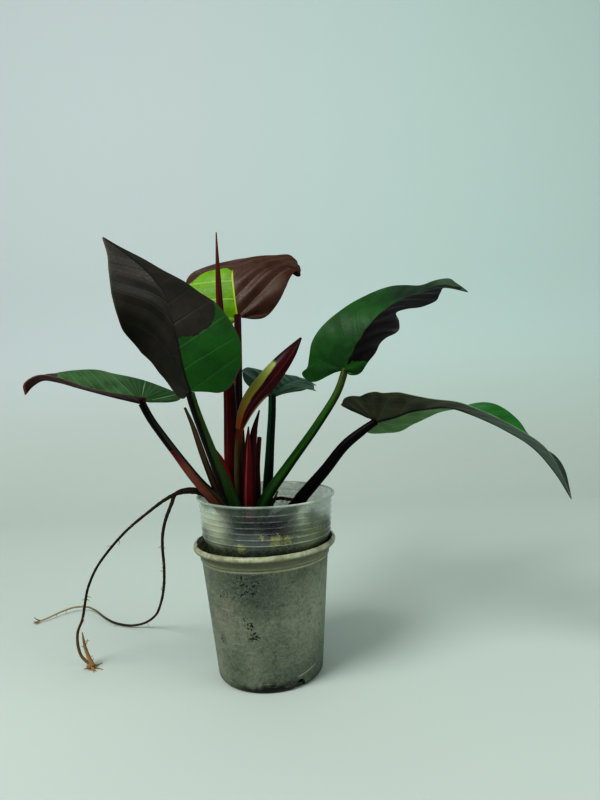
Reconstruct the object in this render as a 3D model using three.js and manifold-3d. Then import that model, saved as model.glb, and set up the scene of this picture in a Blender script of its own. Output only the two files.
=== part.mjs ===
// A potted variegated philodendron: two nested nursery pots, a mound of soil, a short stem,
// six open leaves on long stalks, a leaf still rolled up, a spear leaf, sheaths and aerial roots.
// Millimetres, +Z up. The origin is the centre of the outer pot's base, and the front is -Y.
import * as THREE from "three";
import { mergeVertices } from "three/addons/utils/BufferGeometryUtils.js";
import Module from "manifold-3d";

const wasm = await Module();
wasm.setup();

// Driving dimensions.
const OUTER_POT = {
  baseRadius: 42.6,
  cornerRadius: 4,
  stepHeight: 96,
  stepRadius: 51.2,
  stepWidth: 1.1,
  rimRadius: 57.7,
  rimDepth: 5,
  height: 108.6,
  wall: 1.5,
  floor: 2.4,
};
const INNER_POT = {
  baseRadius: 39,
  baseHeight: 2.8,
  shoulderHeight: 109.4,
  shoulderRadius: 48.4,
  bandRadius: 51.3,
  bandTopRadius: 53.8,
  rimRadius: 56,
  height: 144.6,
  rimDepth: 2.2,
  wall: 1.1,
  floor: 1.4,
  ribSpacing: 4.5,
  ribDepth: 0.6,
  ribCount: 6,
};
const INNER_TILT = THREE.MathUtils.degToRad(1.2);
const POT_SIDES = 36;
const NOTCH = { width: 9, height: 7, count: 2, turn: -55 };
const DRAIN = { radius: 3.5, ring: 22, count: 6 };
const SOIL = { height: 107, rightRise: 4, bumps: 1.6, sides: 32 };
const BLADE_THICKNESS = 0.8;
const RIB_HEIGHT = 1.1;
const BLADE_ROWS = 22;
const GAP = 0.3;
const CUT_TOLERANCE = 0.1;

// Shares of the half width where a blade has its columns of points.
const COLUMNS = [0, 0.07, 0.3, 0.55, 0.8, 1];

// Colours.
const DARK_LEAF = "#2b2a20";
const BRONZE_LEAF = "#5a3a2a";
const GREEN_LEAF = "#2c4a20";
const UNDERSIDE = "#5f6a3c";
const LIME = "#9aa648";
const STALK_DARK = "#1d2a18";
const STALK_GREEN = "#33501f";
const RED_SHEATH = "#6a1416";
const OLIVE_STUB = "#5a5a30";
const PINK_SHEATH = "#8a5a4c";
const ROOT = "#4a3526";
const SOIL_BROWN = "#2e2a1c";
const CLEAR_PLASTIC = "#b8bba6";
const GREY_PLASTIC = "#7a7866";

// Small maths.

function vector([x, y, z]) {
  return new THREE.Vector3(x, y, z);
}

function radians(degrees) {
  return THREE.MathUtils.degToRad(degrees);
}

// A smooth value at t between values set at even stations from 0 to 1.
function stations(values, t) {
  if (values.length === 1) return values[0];
  const last = values.length - 1;
  const x = THREE.MathUtils.clamp(t, 0, 1) * last;
  const i = Math.min(Math.floor(x), last - 1);
  const f = x - i;
  const p1 = values[i];
  const p2 = values[i + 1];
  const p0 = i > 0 ? values[i - 1] : 2 * p1 - p2;
  const p3 = i + 2 <= last ? values[i + 2] : 2 * p2 - p1;
  const cubic = 3 * (p1 - p2) + p3 - p0;
  return p1 + 0.5 * f * (p2 - p0 + f * (2 * p0 - 5 * p1 + 4 * p2 - p3 + f * cubic));
}

// The step made by a section that starts at an angle and bends evenly over a run.
function arcStep(angle, bend, run) {
  if (Math.abs(bend * run) < 1e-6) {
    return { across: Math.cos(angle) * run, up: Math.sin(angle) * run, angle };
  }
  const end = angle + bend * run;
  return {
    across: (Math.sin(end) - Math.sin(angle)) / bend,
    up: (Math.cos(angle) - Math.cos(end)) / bend,
    angle: end,
  };
}

// Closed surfaces.

function surface(points, triangles) {
  const geometry = new THREE.BufferGeometry();
  geometry.setFromPoints(points);
  geometry.setIndex(triangles.flat());
  return facingOut(geometry);
}

// Turns a closed surface's faces outwards.
function facingOut(geometry) {
  const p = geometry.getAttribute("position");
  const index = geometry.getIndex().array;
  const corner = [0, 1, 2].map(() => new THREE.Vector3());
  let volume = 0;
  for (let i = 0; i < index.length; i += 3) {
    corner.forEach((v, k) => v.fromBufferAttribute(p, index[i + k]));
    volume += corner[0].dot(corner[1].clone().cross(corner[2]));
  }
  if (volume < 0) {
    for (let i = 0; i < index.length; i += 3) {
      [index[i + 1], index[i + 2]] = [index[i + 2], index[i + 1]];
    }
  }
  return geometry;
}

// A closed skin through rings of points, with a fan to a middle point at each end.
function loft(rings, first, last) {
  const sides = rings[0].length;
  const points = [...rings.flat(), first, last];
  const triangles = [];
  for (let r = 0; r < rings.length - 1; r++) {
    for (let k = 0; k < sides; k++) {
      const a = r * sides + k;
      const b = r * sides + ((k + 1) % sides);
      triangles.push([a, b, b + sides], [a, b + sides, a + sides]);
    }
  }
  const end = (rings.length - 1) * sides;
  for (let k = 0; k < sides; k++) {
    const next = (k + 1) % sides;
    triangles.push([next, k, points.length - 2]);
    triangles.push([end + k, end + next, points.length - 1]);
  }
  return surface(points, triangles);
}

// Normals at the points of a grid, from the faces around each.
function gridNormals(grid) {
  const normals = grid.map((row) => row.map(() => new THREE.Vector3()));
  for (let i = 0; i < grid.length - 1; i++) {
    for (let j = 0; j < grid[0].length - 1; j++) {
      const corners = [[i, j], [i, j + 1], [i + 1, j + 1], [i + 1, j]];
      const across = grid[i + 1][j + 1].clone().sub(grid[i][j]);
      const along = grid[i + 1][j].clone().sub(grid[i][j + 1]);
      const face = across.cross(along);
      corners.forEach(([r, c]) => normals[r][c].add(face));
    }
  }
  normals.flat().forEach((n) => n.normalize());
  return normals;
}

// A thin closed plate around a grid of points. rib(i, j) thickens its lower face.
function plate(grid, thickness, rib = () => 0) {
  const rows = grid.length;
  const columns = grid[0].length;
  const normals = gridNormals(grid);
  const upper = [];
  const lower = [];
  grid.forEach((row, i) =>
    row.forEach((p, j) => {
      upper.push(p.clone().addScaledVector(normals[i][j], thickness / 2));
      lower.push(p.clone().addScaledVector(normals[i][j], -thickness / 2 - rib(i, j)));
    }),
  );
  const below = upper.length;
  const triangles = [];
  const addBoth = (a, b, c) => triangles.push([a, b, c], [c + below, b + below, a + below]);
  for (let i = 0; i < rows - 1; i++) {
    for (let j = 0; j < columns - 1; j++) {
      const a = i * columns + j;
      const b = a + 1;
      const c = b + columns;
      const d = a + columns;
      if (j < (columns - 1) / 2) {
        addBoth(a, b, d);
        addBoth(b, c, d);
      } else {
        addBoth(a, b, c);
        addBoth(a, c, d);
      }
    }
  }
  const wall = (p, q) => triangles.push([q, p, p + below], [q, p + below, q + below]);
  for (let j = 0; j < columns - 1; j++) {
    wall(j, j + 1);
    wall((rows - 1) * columns + j + 1, (rows - 1) * columns + j);
  }
  for (let i = 0; i < rows - 1; i++) {
    wall((i + 1) * columns, i * columns);
    wall(i * columns + columns - 1, (i + 1) * columns + columns - 1);
  }
  return surface([...upper, ...lower], triangles);
}

// Cutting and joining.

function solid(geometry) {
  const bare = geometry.clone();
  bare.deleteAttribute("normal");
  bare.deleteAttribute("uv");
  const merged = mergeVertices(bare, 1e-4);
  return new wasm.Manifold(
    new wasm.Mesh({
      numProp: 3,
      vertProperties: merged.getAttribute("position").array,
      triVerts: new Uint32Array(merged.getIndex().array),
    }),
  );
}

function geometryOf(body) {
  const made = body.getMesh();
  const geometry = new THREE.BufferGeometry();
  geometry.setAttribute("position", new THREE.BufferAttribute(made.vertProperties, 3));
  geometry.setIndex(new THREE.BufferAttribute(made.triVerts, 1));
  return geometry;
}

// What is left of a piece outside its neighbours, with loose scraps and slivers dropped.
function cut(geometry, neighbours) {
  let body = solid(geometry);
  neighbours.forEach((other) => {
    body = body.subtract(solid(other)).asOriginal().simplify(CUT_TOLERANCE);
  });
  const pieces = body.decompose().sort((a, b) => b.volume() - a.volume());
  return geometryOf(pieces[0]);
}

// Leaves.

// Points of one leaf: its midrib runs through leaf.midrib, leaf.side points to the right half,
// and the outlines give margin points as shares of the length and of leaf.width.
function leafGrid(leaf) {
  const curve = new THREE.CatmullRomCurve3(leaf.midrib.map(vector));
  const length = curve.getLength();
  const frame = (along) => {
    const t = THREE.MathUtils.clamp(along / length, 0, 1);
    const forward = curve.getTangentAt(t);
    const side = vector([0, 1, 2].map((k) => stations(leaf.side.map((s) => s[k]), t)));
    side.addScaledVector(forward, -side.dot(forward)).normalize();
    return { at: curve.getPointAt(t), forward, side, up: side.clone().cross(forward) };
  };
  const base = frame(0);
  const half = COLUMNS.length - 1;
  const grid = [];
  for (let i = 0; i <= BLADE_ROWS; i++) grid.push(new Array(2 * half + 1));
  [leaf.left, leaf.right].forEach((part, isRight) => {
    const sign = isRight ? 1 : -1;
    const outline = new THREE.CatmullRomCurve3(part.outline.map(([a, b]) => vector([a, b, 0])));
    const margin = outline.getSpacedPoints(BLADE_ROWS);
    const lift = radians(part.lobeLift ?? 0);
    const back = base.forward.clone().multiplyScalar(Math.cos(lift));
    back.addScaledVector(base.up, -Math.sin(lift));
    for (let i = 0; i <= BLADE_ROWS; i++) {
      const s = i / BLADE_ROWS;
      const rootAlong = length * s ** 1.55 * 0.988;
      const edgeAlong = margin[i].x * length;
      const edgeOut = margin[i].y * leaf.width;
      COLUMNS.forEach((u, j) => {
        const along = rootAlong + (edgeAlong - rootAlong) * u ** 1.35;
        const { at, side, up } = frame(along);
        at.addScaledVector(back, Math.min(along, 0));
        const t = THREE.MathUtils.clamp(along / length, 0, 1);
        const section = sectionPoint(leaf, part, t, edgeOut, edgeOut * u);
        const ruffle = part.wave ? waveHeight(part.wave, s, u) : 0;
        const lifted = ruffle + pleatHeight(leaf.pleat, s, u);
        const normal = up.clone().multiplyScalar(Math.cos(section.angle));
        normal.addScaledVector(side, -Math.sin(section.angle) * sign);
        at.addScaledVector(side, sign * section.across).addScaledVector(up, section.up);
        grid[i][half + sign * j] = at.addScaledVector(normal, lifted);
      });
    }
  });
  return grid;
}

// A leaf's cross-section: it leaves the midrib at the fold angle, bends by the curl
// and, near the margin, by the roll.
function sectionPoint(leaf, part, t, edgeOut, out) {
  const rollShare = leaf.rollShare ?? 0.2;
  const flatOut = edgeOut * (1 - rollShare);
  const curl = radians(stations(part.curl ?? [0], t)) / leaf.width;
  const roll = radians(stations(part.roll ?? [0], t)) / Math.max(edgeOut * rollShare, 0.5);
  const inner = arcStep(radians(stations(part.fold, t)), curl, Math.min(out, flatOut));
  const outer = arcStep(inner.angle, roll, Math.max(out - flatOut, 0));
  return { across: inner.across + outer.across, up: inner.up + outer.up, angle: outer.angle };
}

// The blade rises between its side veins.
function pleatHeight([height, count], s, u) {
  const dies = 1 - s ** 4;
  return height * Math.sin(Math.PI * u) ** 0.7 * dies * (0.5 - 0.5 * Math.cos(2 * Math.PI * count * s));
}

// The margin waves up and down.
function waveHeight([height, count, start], s, u) {
  const envelope = stations([0.3, 1, 1, 0.6, 0.2], s);
  return height * envelope * u ** 2.2 * Math.sin(2 * Math.PI * (count * s + start));
}

// A blade's plate, with the midrib raised on its lower face. grow moves every face outwards.
function bladePlate(grid, grow = 0) {
  const rows = grid.length - 1;
  const middle = (grid[0].length - 1) / 2;
  const shape = grid.map((row) => row.map((p) => p.clone()));
  const push = (p, from) => p.add(p.clone().sub(from).setLength(grow));
  if (grow) {
    shape.forEach((row) => {
      push(row[0], row[1]);
      push(row[row.length - 1], row[row.length - 2]);
    });
    shape[0].forEach((p, j) => push(p, shape[1][j]));
  }
  const rib = (i, j) => {
    const reach = Math.max(0, 1 - Math.abs(j - middle) / 1.5);
    return RIB_HEIGHT * reach * (1 - i / rows) + grow / 2;
  };
  return plate(shape, BLADE_THICKNESS + grow * 1.5, rib);
}

// The upper left leaf hangs upside up to the front, folded like a shallow roof.
const upperLeft = {
  midrib: [[-43, -60, 231], [-47, -62, 250], [-51, -60, 275], [-60, -52, 304], [-77, -42, 325],
    [-108, -28, 351]],
  side: [[1, -0.15, 0.2], [1, -0.1, 0.5], [0.8, 0, 0.7]],
  width: 42,
  pleat: [1.2, 6],
  left: {
    fold: [-50, -44, -36, -16, 2, 14, 22],
    curl: [10, 6, 0],
    outline: [[-0.01, 0.1], [-0.03, 0.4], [0, 0.62], [0.09, 0.76], [0.18, 0.92], [0.29, 1.1],
      [0.42, 1.1], [0.6, 0.9], [0.73, 0.66], [0.82, 0.44], [0.9, 0.21], [1, 0.012]],
  },
  right: {
    fold: [-10, -10, -15, -32, -50, -58, -50],
    curl: [-8],
    outline: [[0, 0.07], [-0.02, 0.28], [-0.04, 0.48], [-0.03, 0.67], [0.02, 0.85], [0.07, 0.98],
      [0.2, 1.04], [0.3, 0.93], [0.39, 0.81], [0.49, 0.56], [0.62, 0.37], [0.78, 0.23],
      [0.9, 0.08], [1, 0.012]],
  },
};

// The back leaf is young and bronze. It arches over backwards and its right margin rolls under.
const back = {
  midrib: [[-15, 30, 291], [-17, 32, 312], [-18, 42, 334], [-13, 62, 347], [-2, 88, 346],
    [10, 112, 334], [20, 128, 318]],
  side: [[1, -0.05, 0], [1, -0.3, 0.03], [1, -0.5, 0.05]],
  width: 46,
  rollShare: 0.3,
  pleat: [1.5, 6],
  left: {
    fold: [0, -2, -6],
    curl: [-12],
    outline: [[-0.02, 0.08], [-0.08, 0.25], [-0.11, 0.5], [-0.08, 0.76], [0.03, 0.93],
      [0.2, 0.98], [0.38, 0.94], [0.56, 0.82], [0.72, 0.6], [0.85, 0.34], [0.94, 0.13],
      [1, 0.012]],
  },
  right: {
    fold: [-5, -4, -5, -3, -8],
    curl: [10, 0, 0, -10],
    roll: [0, 0, -55, -160, -160, -80, -30, 0],
    outline: [[0, 0.08], [-0.02, 0.3], [-0.02, 0.5], [0.02, 0.7], [0.08, 0.88], [0.16, 1.04],
      [0.27, 1.27], [0.4, 1.5], [0.54, 1.38], [0.68, 1], [0.8, 0.64], [0.9, 0.3], [1, 0.012]],
  },
};

// The upper right leaf is lobed, with a scalloped near margin.
const upperRight = {
  midrib: [[73, 10, 242], [82, 6, 260], [98, 2, 281], [118, 0, 295], [138, 0, 301],
    [156, 2, 304], [176, 6, 300]],
  side: [[0.55, -0.7, -0.4], [0.5, -0.6, -0.55], [0.3, -0.6, -0.7], [0.1, -0.8, -0.5]],
  width: 38,
  pleat: [1.2, 7],
  left: {
    fold: [35, 25, 5, -15, -22, -22, -8, 15],
    outline: [[-0.02, 0.07], [-0.04, 0.16], [-0.09, 0.3], [-0.15, 0.48], [-0.165, 0.66],
      [-0.135, 0.84], [-0.09, 0.78], [-0.03, 0.83], [0.08, 0.92], [0.18, 0.88], [0.32, 0.82],
      [0.46, 0.84], [0.56, 0.76], [0.65, 0.6], [0.75, 0.36], [0.83, 0.42], [0.905, 0.5],
      [0.945, 0.28], [1, 0.012]],
  },
  right: {
    fold: [10, 25, 30, 30, 30, 20],
    curl: [-10],
    wave: [2.5, 3.2, 0.35],
    outline: [[0, 0.05], [-0.01, 0.22], [0.03, 0.48], [0.12, 0.78], [0.21, 0.9], [0.27, 0.81],
      [0.32, 0.84], [0.4, 0.96], [0.45, 0.8], [0.48, 0.56], [0.53, 0.63], [0.63, 0.75],
      [0.69, 0.72], [0.76, 0.45], [0.84, 0.14], [0.92, 0.05], [1, 0.012]],
  },
};

// The lower right leaf is the longest. Its near half turns up and shows the underside.
const lowerRight = {
  midrib: [[93, -20, 200], [106, -25, 203], [118, -29, 207], [132, -33, 209], [147, -36, 209],
    [163, -39, 203], [185, -44, 191], [204, -48, 177], [218, -52, 158], [228, -54, 139]],
  side: [[0, -1, 0.3], [0, -1, 0.1], [0, -1, 0]],
  width: 32,
  pleat: [1, 6],
  left: {
    fold: [-10, -15, -6, 8, 32, 40, 32, 45, 45],
    outline: [[-0.01, 0.08], [-0.06, 0.3], [-0.08, 0.55], [-0.05, 0.8], [0.03, 0.97],
      [0.12, 0.9], [0.22, 0.83], [0.32, 0.94], [0.42, 1.2], [0.5, 1.08], [0.57, 0.88],
      [0.65, 0.62], [0.71, 0.4], [0.76, 0.42], [0.82, 0.55], [0.89, 0.43], [0.95, 0.22],
      [1, 0.012]],
  },
  right: {
    fold: [27, 28, 12, 2, 0, 0, 0, 0, 0],
    lobeLift: 32,
    outline: [[-0.02, 0.06], [-0.08, 0.09], [-0.155, 0.2], [-0.14, 0.42], [-0.1, 0.72],
      [-0.03, 0.98], [0.05, 1.1], [0.13, 1], [0.2, 0.8], [0.3, 0.68], [0.4, 0.86],
      [0.52, 1.04], [0.66, 1], [0.78, 0.72], [0.9, 0.28], [1, 0.012]],
  },
};

// The lower left leaf is cupped along its midrib, and its tip droops.
const lowerLeft = {
  midrib: [[-92, -8, 224], [-110, -19, 230], [-131, -32, 238], [-145, -40, 243.5],
    [-154, -43, 245], [-161, -45, 241], [-166, -47, 235]],
  side: [[-0.4, 1, 0.25], [-0.4, 1, 0.3], [-0.3, 1, 0.3]],
  width: 36,
  pleat: [1, 6],
  left: {
    fold: [24, 20, 17, 18, 28, 42],
    outline: [[-0.01, 0.1], [0, 0.35], [0.04, 0.62], [0.16, 0.72], [0.35, 0.9], [0.49, 0.95],
      [0.6, 0.82], [0.72, 0.58], [0.84, 0.42], [0.93, 0.3], [1, 0.012]],
  },
  right: {
    fold: [18, 16, 18, 14, 8, 0],
    lobeLift: 5,
    outline: [[-0.02, 0.06], [-0.12, 0.08], [-0.28, 0.18], [-0.39, 0.38], [-0.37, 0.62],
      [-0.22, 0.86], [-0.04, 1.04], [0.14, 1.08], [0.28, 1.02], [0.4, 0.9], [0.52, 0.76],
      [0.6, 0.64], [0.7, 0.46], [0.82, 0.28], [0.92, 0.12], [1, 0.012]],
  },
};

// The low back leaf is the smallest of the open ones, behind the others.
const lowBack = {
  midrib: [[11, 30, 221], [18, 45, 228], [28, 62, 233], [41, 80, 235], [51, 92, 229]],
  side: [[0.6, -0.7, -0.2], [0.6, -0.7, -0.2], [0.7, -0.7, -0.3]],
  width: 32,
  pleat: [0.8, 6],
  left: {
    fold: [52, 42, 30, 18, 8, 0, -5],
    curl: [-10],
    outline: [[-0.02, 0.08], [-0.1, 0.27], [-0.13, 0.57], [-0.1, 0.87], [0.03, 1.08],
      [0.2, 1.14], [0.38, 1.08], [0.56, 0.88], [0.72, 0.6], [0.85, 0.34], [0.94, 0.13],
      [1, 0.012]],
  },
  right: {
    fold: [17, 13, 4, -3, -6, -10, -15],
    curl: [-15],
    outline: [[0, 0.08], [0.03, 0.3], [0.04, 0.6], [0.07, 0.92], [0.2, 1.02], [0.35, 0.97],
      [0.5, 0.75], [0.68, 0.5], [0.85, 0.22], [1, 0.012]],
  },
};

// The young leaf is a thin sheet still rolled round itself, with its open edge up and to the left.
const youngLeaf = {
  axis: [[-14, -14, 200], [-9, -18, 212], [-2, -20, 223], [9, -21, 235], [20, -21, 247],
    [29, -20, 257], [38, -17, 268]],
  radius: [3.2, 6, 7.8, 8.4, 7.4, 4.8, 0.8],
  turns: [0.8, 1.1, 1.2, 1.22, 1.15, 1, 0.7],
  openEdge: 200,
  tighten: 0.3,
  rows: 16,
  columns: 14,
};

function rolledSheet({ axis, radius, turns, openEdge, tighten, rows, columns }) {
  const curve = new THREE.CatmullRomCurve3(axis.map(vector));
  const grid = [];
  for (let i = 0; i <= rows; i++) {
    const t = i / rows;
    const forward = curve.getTangentAt(t);
    const side = forward.clone().cross(vector([0, 1, 0])).normalize();
    const up = side.clone().cross(forward);
    const row = [];
    for (let j = 0; j <= columns; j++) {
      const turn = (j / columns) * stations(turns, t);
      const angle = radians(openEdge) + turn * 2 * Math.PI;
      const r = stations(radius, t) * (1 - tighten * turn);
      const point = curve.getPointAt(t);
      point.addScaledVector(side, r * Math.cos(angle));
      row.push(point.addScaledVector(up, r * Math.sin(angle)));
    }
    grid.push(row);
  }
  return grid;
}

// Stalks, sheaths and roots.

// A closed rod along a path. radii are set at even stations, flat squashes it from front to
// back, scroll makes one side stand out in a step, and grow moves its skin outwards.
function rod({ path, radii, sides = 8, steps = 10, flat = 1, scroll = 0 }, grow = 0) {
  const curve = new THREE.CatmullRomCurve3(path.map(vector));
  const rings = [];
  for (let i = 0; i <= steps; i++) {
    const t = i / steps;
    const forward = curve.getTangentAt(t);
    const side = forward.clone().cross(vector([0, 1, 0])).normalize();
    const up = side.clone().cross(forward);
    const radius = stations(radii, t);
    const ring = [];
    for (let k = 0; k < sides; k++) {
      const angle = (2 * Math.PI * k) / sides;
      const r = radius * (1 + (scroll * k) / sides);
      const point = curve.getPointAt(t);
      point.addScaledVector(side, (r + grow) * Math.cos(angle));
      ring.push(point.addScaledVector(up, (r * flat + grow) * Math.sin(angle)));
    }
    rings.push(ring);
  }
  const cap = (t, radius, sign) => {
    const reach = sign * (radius * 0.4 + grow);
    return curve.getPointAt(t).addScaledVector(curve.getTangentAt(t), reach);
  };
  return loft(rings, cap(0, radii[0], -1), cap(1, radii[radii.length - 1], 1));
}

// The stem is short and stands in the soil, hidden among the stalks.
const stem = {
  path: [[-14, -4, 92], [-14, -3, 112], [-15, -2, 132]],
  radii: [11, 13, 13, 10, 6],
  sides: 12,
  steps: 8,
};

const stalks = {
  upper_left: {
    path: [[-18, -8, 120], [-22, -15, 139], [-32, -36, 179], [-41, -56, 219], [-43, -60, 230]],
    radii: [6, 5.8, 4.4, 3.6, 3.2],
  },
  back: {
    path: [[-17, 2, 118], [-17, 11, 160], [-17.4, 22, 221], [-16, 27, 255], [-15, 30, 290]],
    radii: [5.5, 4.6, 3.9, 3.3, 3],
  },
  upper_right: {
    path: [[-6, -3, 126], [5, -3, 144], [24, 1, 168], [48, 5, 198], [66, 8, 224], [72.4, 9.8, 239.6]],
    radii: [5, 4.4, 3.8, 3.5, 3.2, 3],
  },
  lower_right: {
    path: [[-8, 0, 112], [10, -2, 121], [25, -3, 132], [33, -6, 142], [52, -11, 163],
      [68, -15, 182], [82, -18, 193], [91, -19.8, 199]],
    radii: [6, 5.6, 5, 4.4, 3.8],
  },
  lower_left: {
    path: [[-24, -4, 122], [-31, -7, 138], [-46, -9, 154], [-61, -10, 175], [-74, -10, 194],
      [-85, -9, 211], [-91, -8, 223]],
    radii: [5, 4.4, 3.4, 3.1, 3],
  },
  low_back: {
    path: [[-5, 6, 120], [2, 12, 134], [5, 18, 157], [8, 25, 187], [10, 28, 206], [11, 30, 220]],
    radii: [5, 4.4, 3.8, 3.4, 3.2],
  },
  young: {
    path: [[-15, -6, 120], [-17.5, -8, 146], [-17.3, -10.5, 166], [-16, -12.2, 183],
      [-14, -13.4, 198]],
    radii: [4.6, 4.2, 3.6, 3.2, 3],
  },
};

const spear = {
  path: [[-22, 1, 118], [-23, 1, 170], [-22, 1, 229], [-25.6, 0, 293], [-25.8, 0, 319],
    [-25.4, 0, 357]],
  radii: [5.6, 5.8, 4.9, 3.1, 2.3, 0.4],
  scroll: 0.12,
  steps: 12,
};

// Sheaths are the thin scales that wrapped each leaf before it opened. Stubs are old cut stalks.
const sheaths = {
  sheath_red_tip: {
    path: [[-12, -11, 124], [-11.5, -14, 142], [-9.6, -16.4, 167], [-6.6, -17.4, 201]],
    radii: [5, 5, 4.2, 3, 0.5],
    flat: 0.6,
  },
  sheath_dark_red: {
    path: [[-9, -3, 124], [-8.5, -4, 150], [-6.4, -5.5, 176], [-3, -7, 197], [2, -8, 213]],
    radii: [4, 4.2, 3.8, 3, 0.5],
    flat: 0.6,
  },
  cut_stub: {
    path: [[-6, 4, 122], [-4, 6, 147], [-3, 6, 167], [0, 5, 190]],
    radii: [3.4, 2.8, 2.2, 1.8],
  },
  sheath_small_red: {
    path: [[-24, -8, 124], [-25, -10, 148], [-27, -11.5, 162], [-30, -12, 174], [-35, -12, 185]],
    radii: [2.8, 4.2, 4.6, 3.2, 0.5],
    flat: 0.45,
  },
  olive_stub: {
    path: [[-26, 0, 122], [-36, -2, 148], [-45, -6, 178], [-52, -8, 204], [-57, -9, 218]],
    radii: [3.2, 3, 2.6, 2.2, 1],
  },
  sheath_pink: {
    path: [[-24, -8, 124], [-36, -13, 140], [-48, -16, 157], [-59, -17, 173], [-68, -17, 185]],
    radii: [3, 3.4, 3.2, 3, 1.4],
    flat: 0.5,
  },
};

// The aerial roots leave the stem, go over the inner pot's rim and hang outside. The long one
// reaches the ground and runs along it.
const roots = {
  aerial_root_short: {
    path: [[-24, -4, 128], [-40, -6, 142], [-50, -9, 149.5], [-65, -14, 151], [-75, -17, 147],
      [-90, -19, 137], [-107, -17, 124], [-126, -11, 105], [-138, -5, 90], [-147, 0, 73],
      [-152, 4, 57], [-156, 8, 45], [-162, 12, 33], [-164, 16, 19], [-162, 18, 9],
      [-154, 16, 2.4]],
    radii: [1.9, 1.6, 1.1, 1, 1, 1.1, 1.2],
    sides: 6,
    steps: 40,
  },
  aerial_root_long: {
    path: [[-24, 2, 126], [-40, 2, 141], [-50, 1, 149], [-60, -2, 151.5], [-69, -6, 149],
      [-73, -5, 141], [-80, 1, 127], [-85, 9, 113], [-88, 18, 99], [-91, 32, 80],
      [-96, 48, 57], [-105, 68, 33], [-115, 84, 16], [-129, 94, 5.4], [-143, 98, 2.3],
      [-160, 106, 2.3], [-174, 118, 3.2], [-192, 138, 5], [-204, 148, 5], [-218, 148, 5],
      [-228, 140, 4], [-237, 129, 2.6], [-245, 121, 1.8]],
    radii: [1.9, 1.5, 1.2, 1.2, 1.1, 1, 0.9, 0.8],
    sides: 6,
    steps: 56,
  },
  side_root: {
    path: [[-6, 4, 128], [8, 10, 137], [14, 10, 138], [21, 9, 137], [30, 9, 136]],
    radii: [2.2, 1.6, 1.4, 1],
    sides: 6,
    steps: 8,
  },
  root_twig: {
    path: [[2, -2, 126], [7, -4, 134], [10, -5, 140], [13, -6, 147]],
    radii: [1.4, 1.2, 0.8],
    sides: 6,
    steps: 6,
  },
};

// Pots and soil.

function lathe(profile, sides) {
  const points = profile.map(([x, y]) => new THREE.Vector2(x, y));
  const geometry = new THREE.LatheGeometry(points, sides).rotateX(Math.PI / 2);
  geometry.deleteAttribute("normal");
  geometry.deleteAttribute("uv");
  return facingOut(mergeVertices(geometry, 1e-4));
}

// Points of a quarter circle from one angle to another, for a rounded edge of a profile.
function roundEdge(x, z, radius, from, to, steps) {
  const points = [];
  for (let k = 0; k <= steps; k++) {
    const angle = radians(from + ((to - from) * k) / steps);
    points.push([x + radius * Math.cos(angle), z + radius * Math.sin(angle)]);
  }
  return points;
}

function outerPot() {
  const p = OUTER_POT;
  const stepOut = p.stepRadius + p.stepWidth;
  const rimCore = p.rimDepth / 2;
  const rimCentre = p.rimRadius - rimCore;
  const rimInner = p.rimRadius - p.wall - 1.2;
  const profile = [
    [0, 0],
    ...roundEdge(p.baseRadius - p.cornerRadius, p.cornerRadius, p.cornerRadius, -90, 0, 3),
    [p.stepRadius, p.stepHeight],
    [stepOut, p.stepHeight + 0.8],
    [stepOut + 0.4, p.height - p.rimDepth],
    ...roundEdge(rimCentre, p.height - rimCore, rimCore, -90, 90, 4),
    [rimInner, p.height - 0.6],
    [stepOut + 0.4 - p.wall, p.height - p.rimDepth - 1.2],
    [stepOut - p.wall, p.stepHeight + 0.8],
    [p.stepRadius - p.wall, p.stepHeight],
    [p.baseRadius - p.wall, p.cornerRadius],
    [p.baseRadius - p.cornerRadius, p.floor],
    [0, p.floor],
  ];
  const openings = [];
  for (let k = 0; k < NOTCH.count; k++) {
    const notch = new THREE.CylinderGeometry(NOTCH.width / 2, NOTCH.width / 2, 12, 12);
    notch.rotateZ(Math.PI / 2).scale(1, 1, NOTCH.height / (NOTCH.width / 2));
    notch.translate(p.baseRadius + 3, 0, 0);
    openings.push(notch.rotateZ(radians(NOTCH.turn + (360 * k) / NOTCH.count)));
  }
  openings.push(...drainHoles(2 * p.floor + 2, 0));
  return cut(lathe(profile, POT_SIDES), openings);
}

function drainHoles(depth, height) {
  const holes = [];
  for (let k = 0; k < DRAIN.count; k++) {
    const hole = new THREE.CylinderGeometry(DRAIN.radius, DRAIN.radius, depth, 8);
    hole.rotateX(Math.PI / 2).translate(DRAIN.ring, 0, height);
    holes.push(hole.rotateZ((2 * Math.PI * k) / DRAIN.count));
  }
  return holes;
}

// The inner pot leans a little in the outer one, and its soil with it.
function leaned(geometry) {
  geometry.translate(0, 0, -INNER_POT.baseHeight).rotateY(INNER_TILT);
  return geometry.translate(0, 0, INNER_POT.baseHeight + INNER_POT.baseRadius * Math.sin(INNER_TILT));
}

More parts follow.
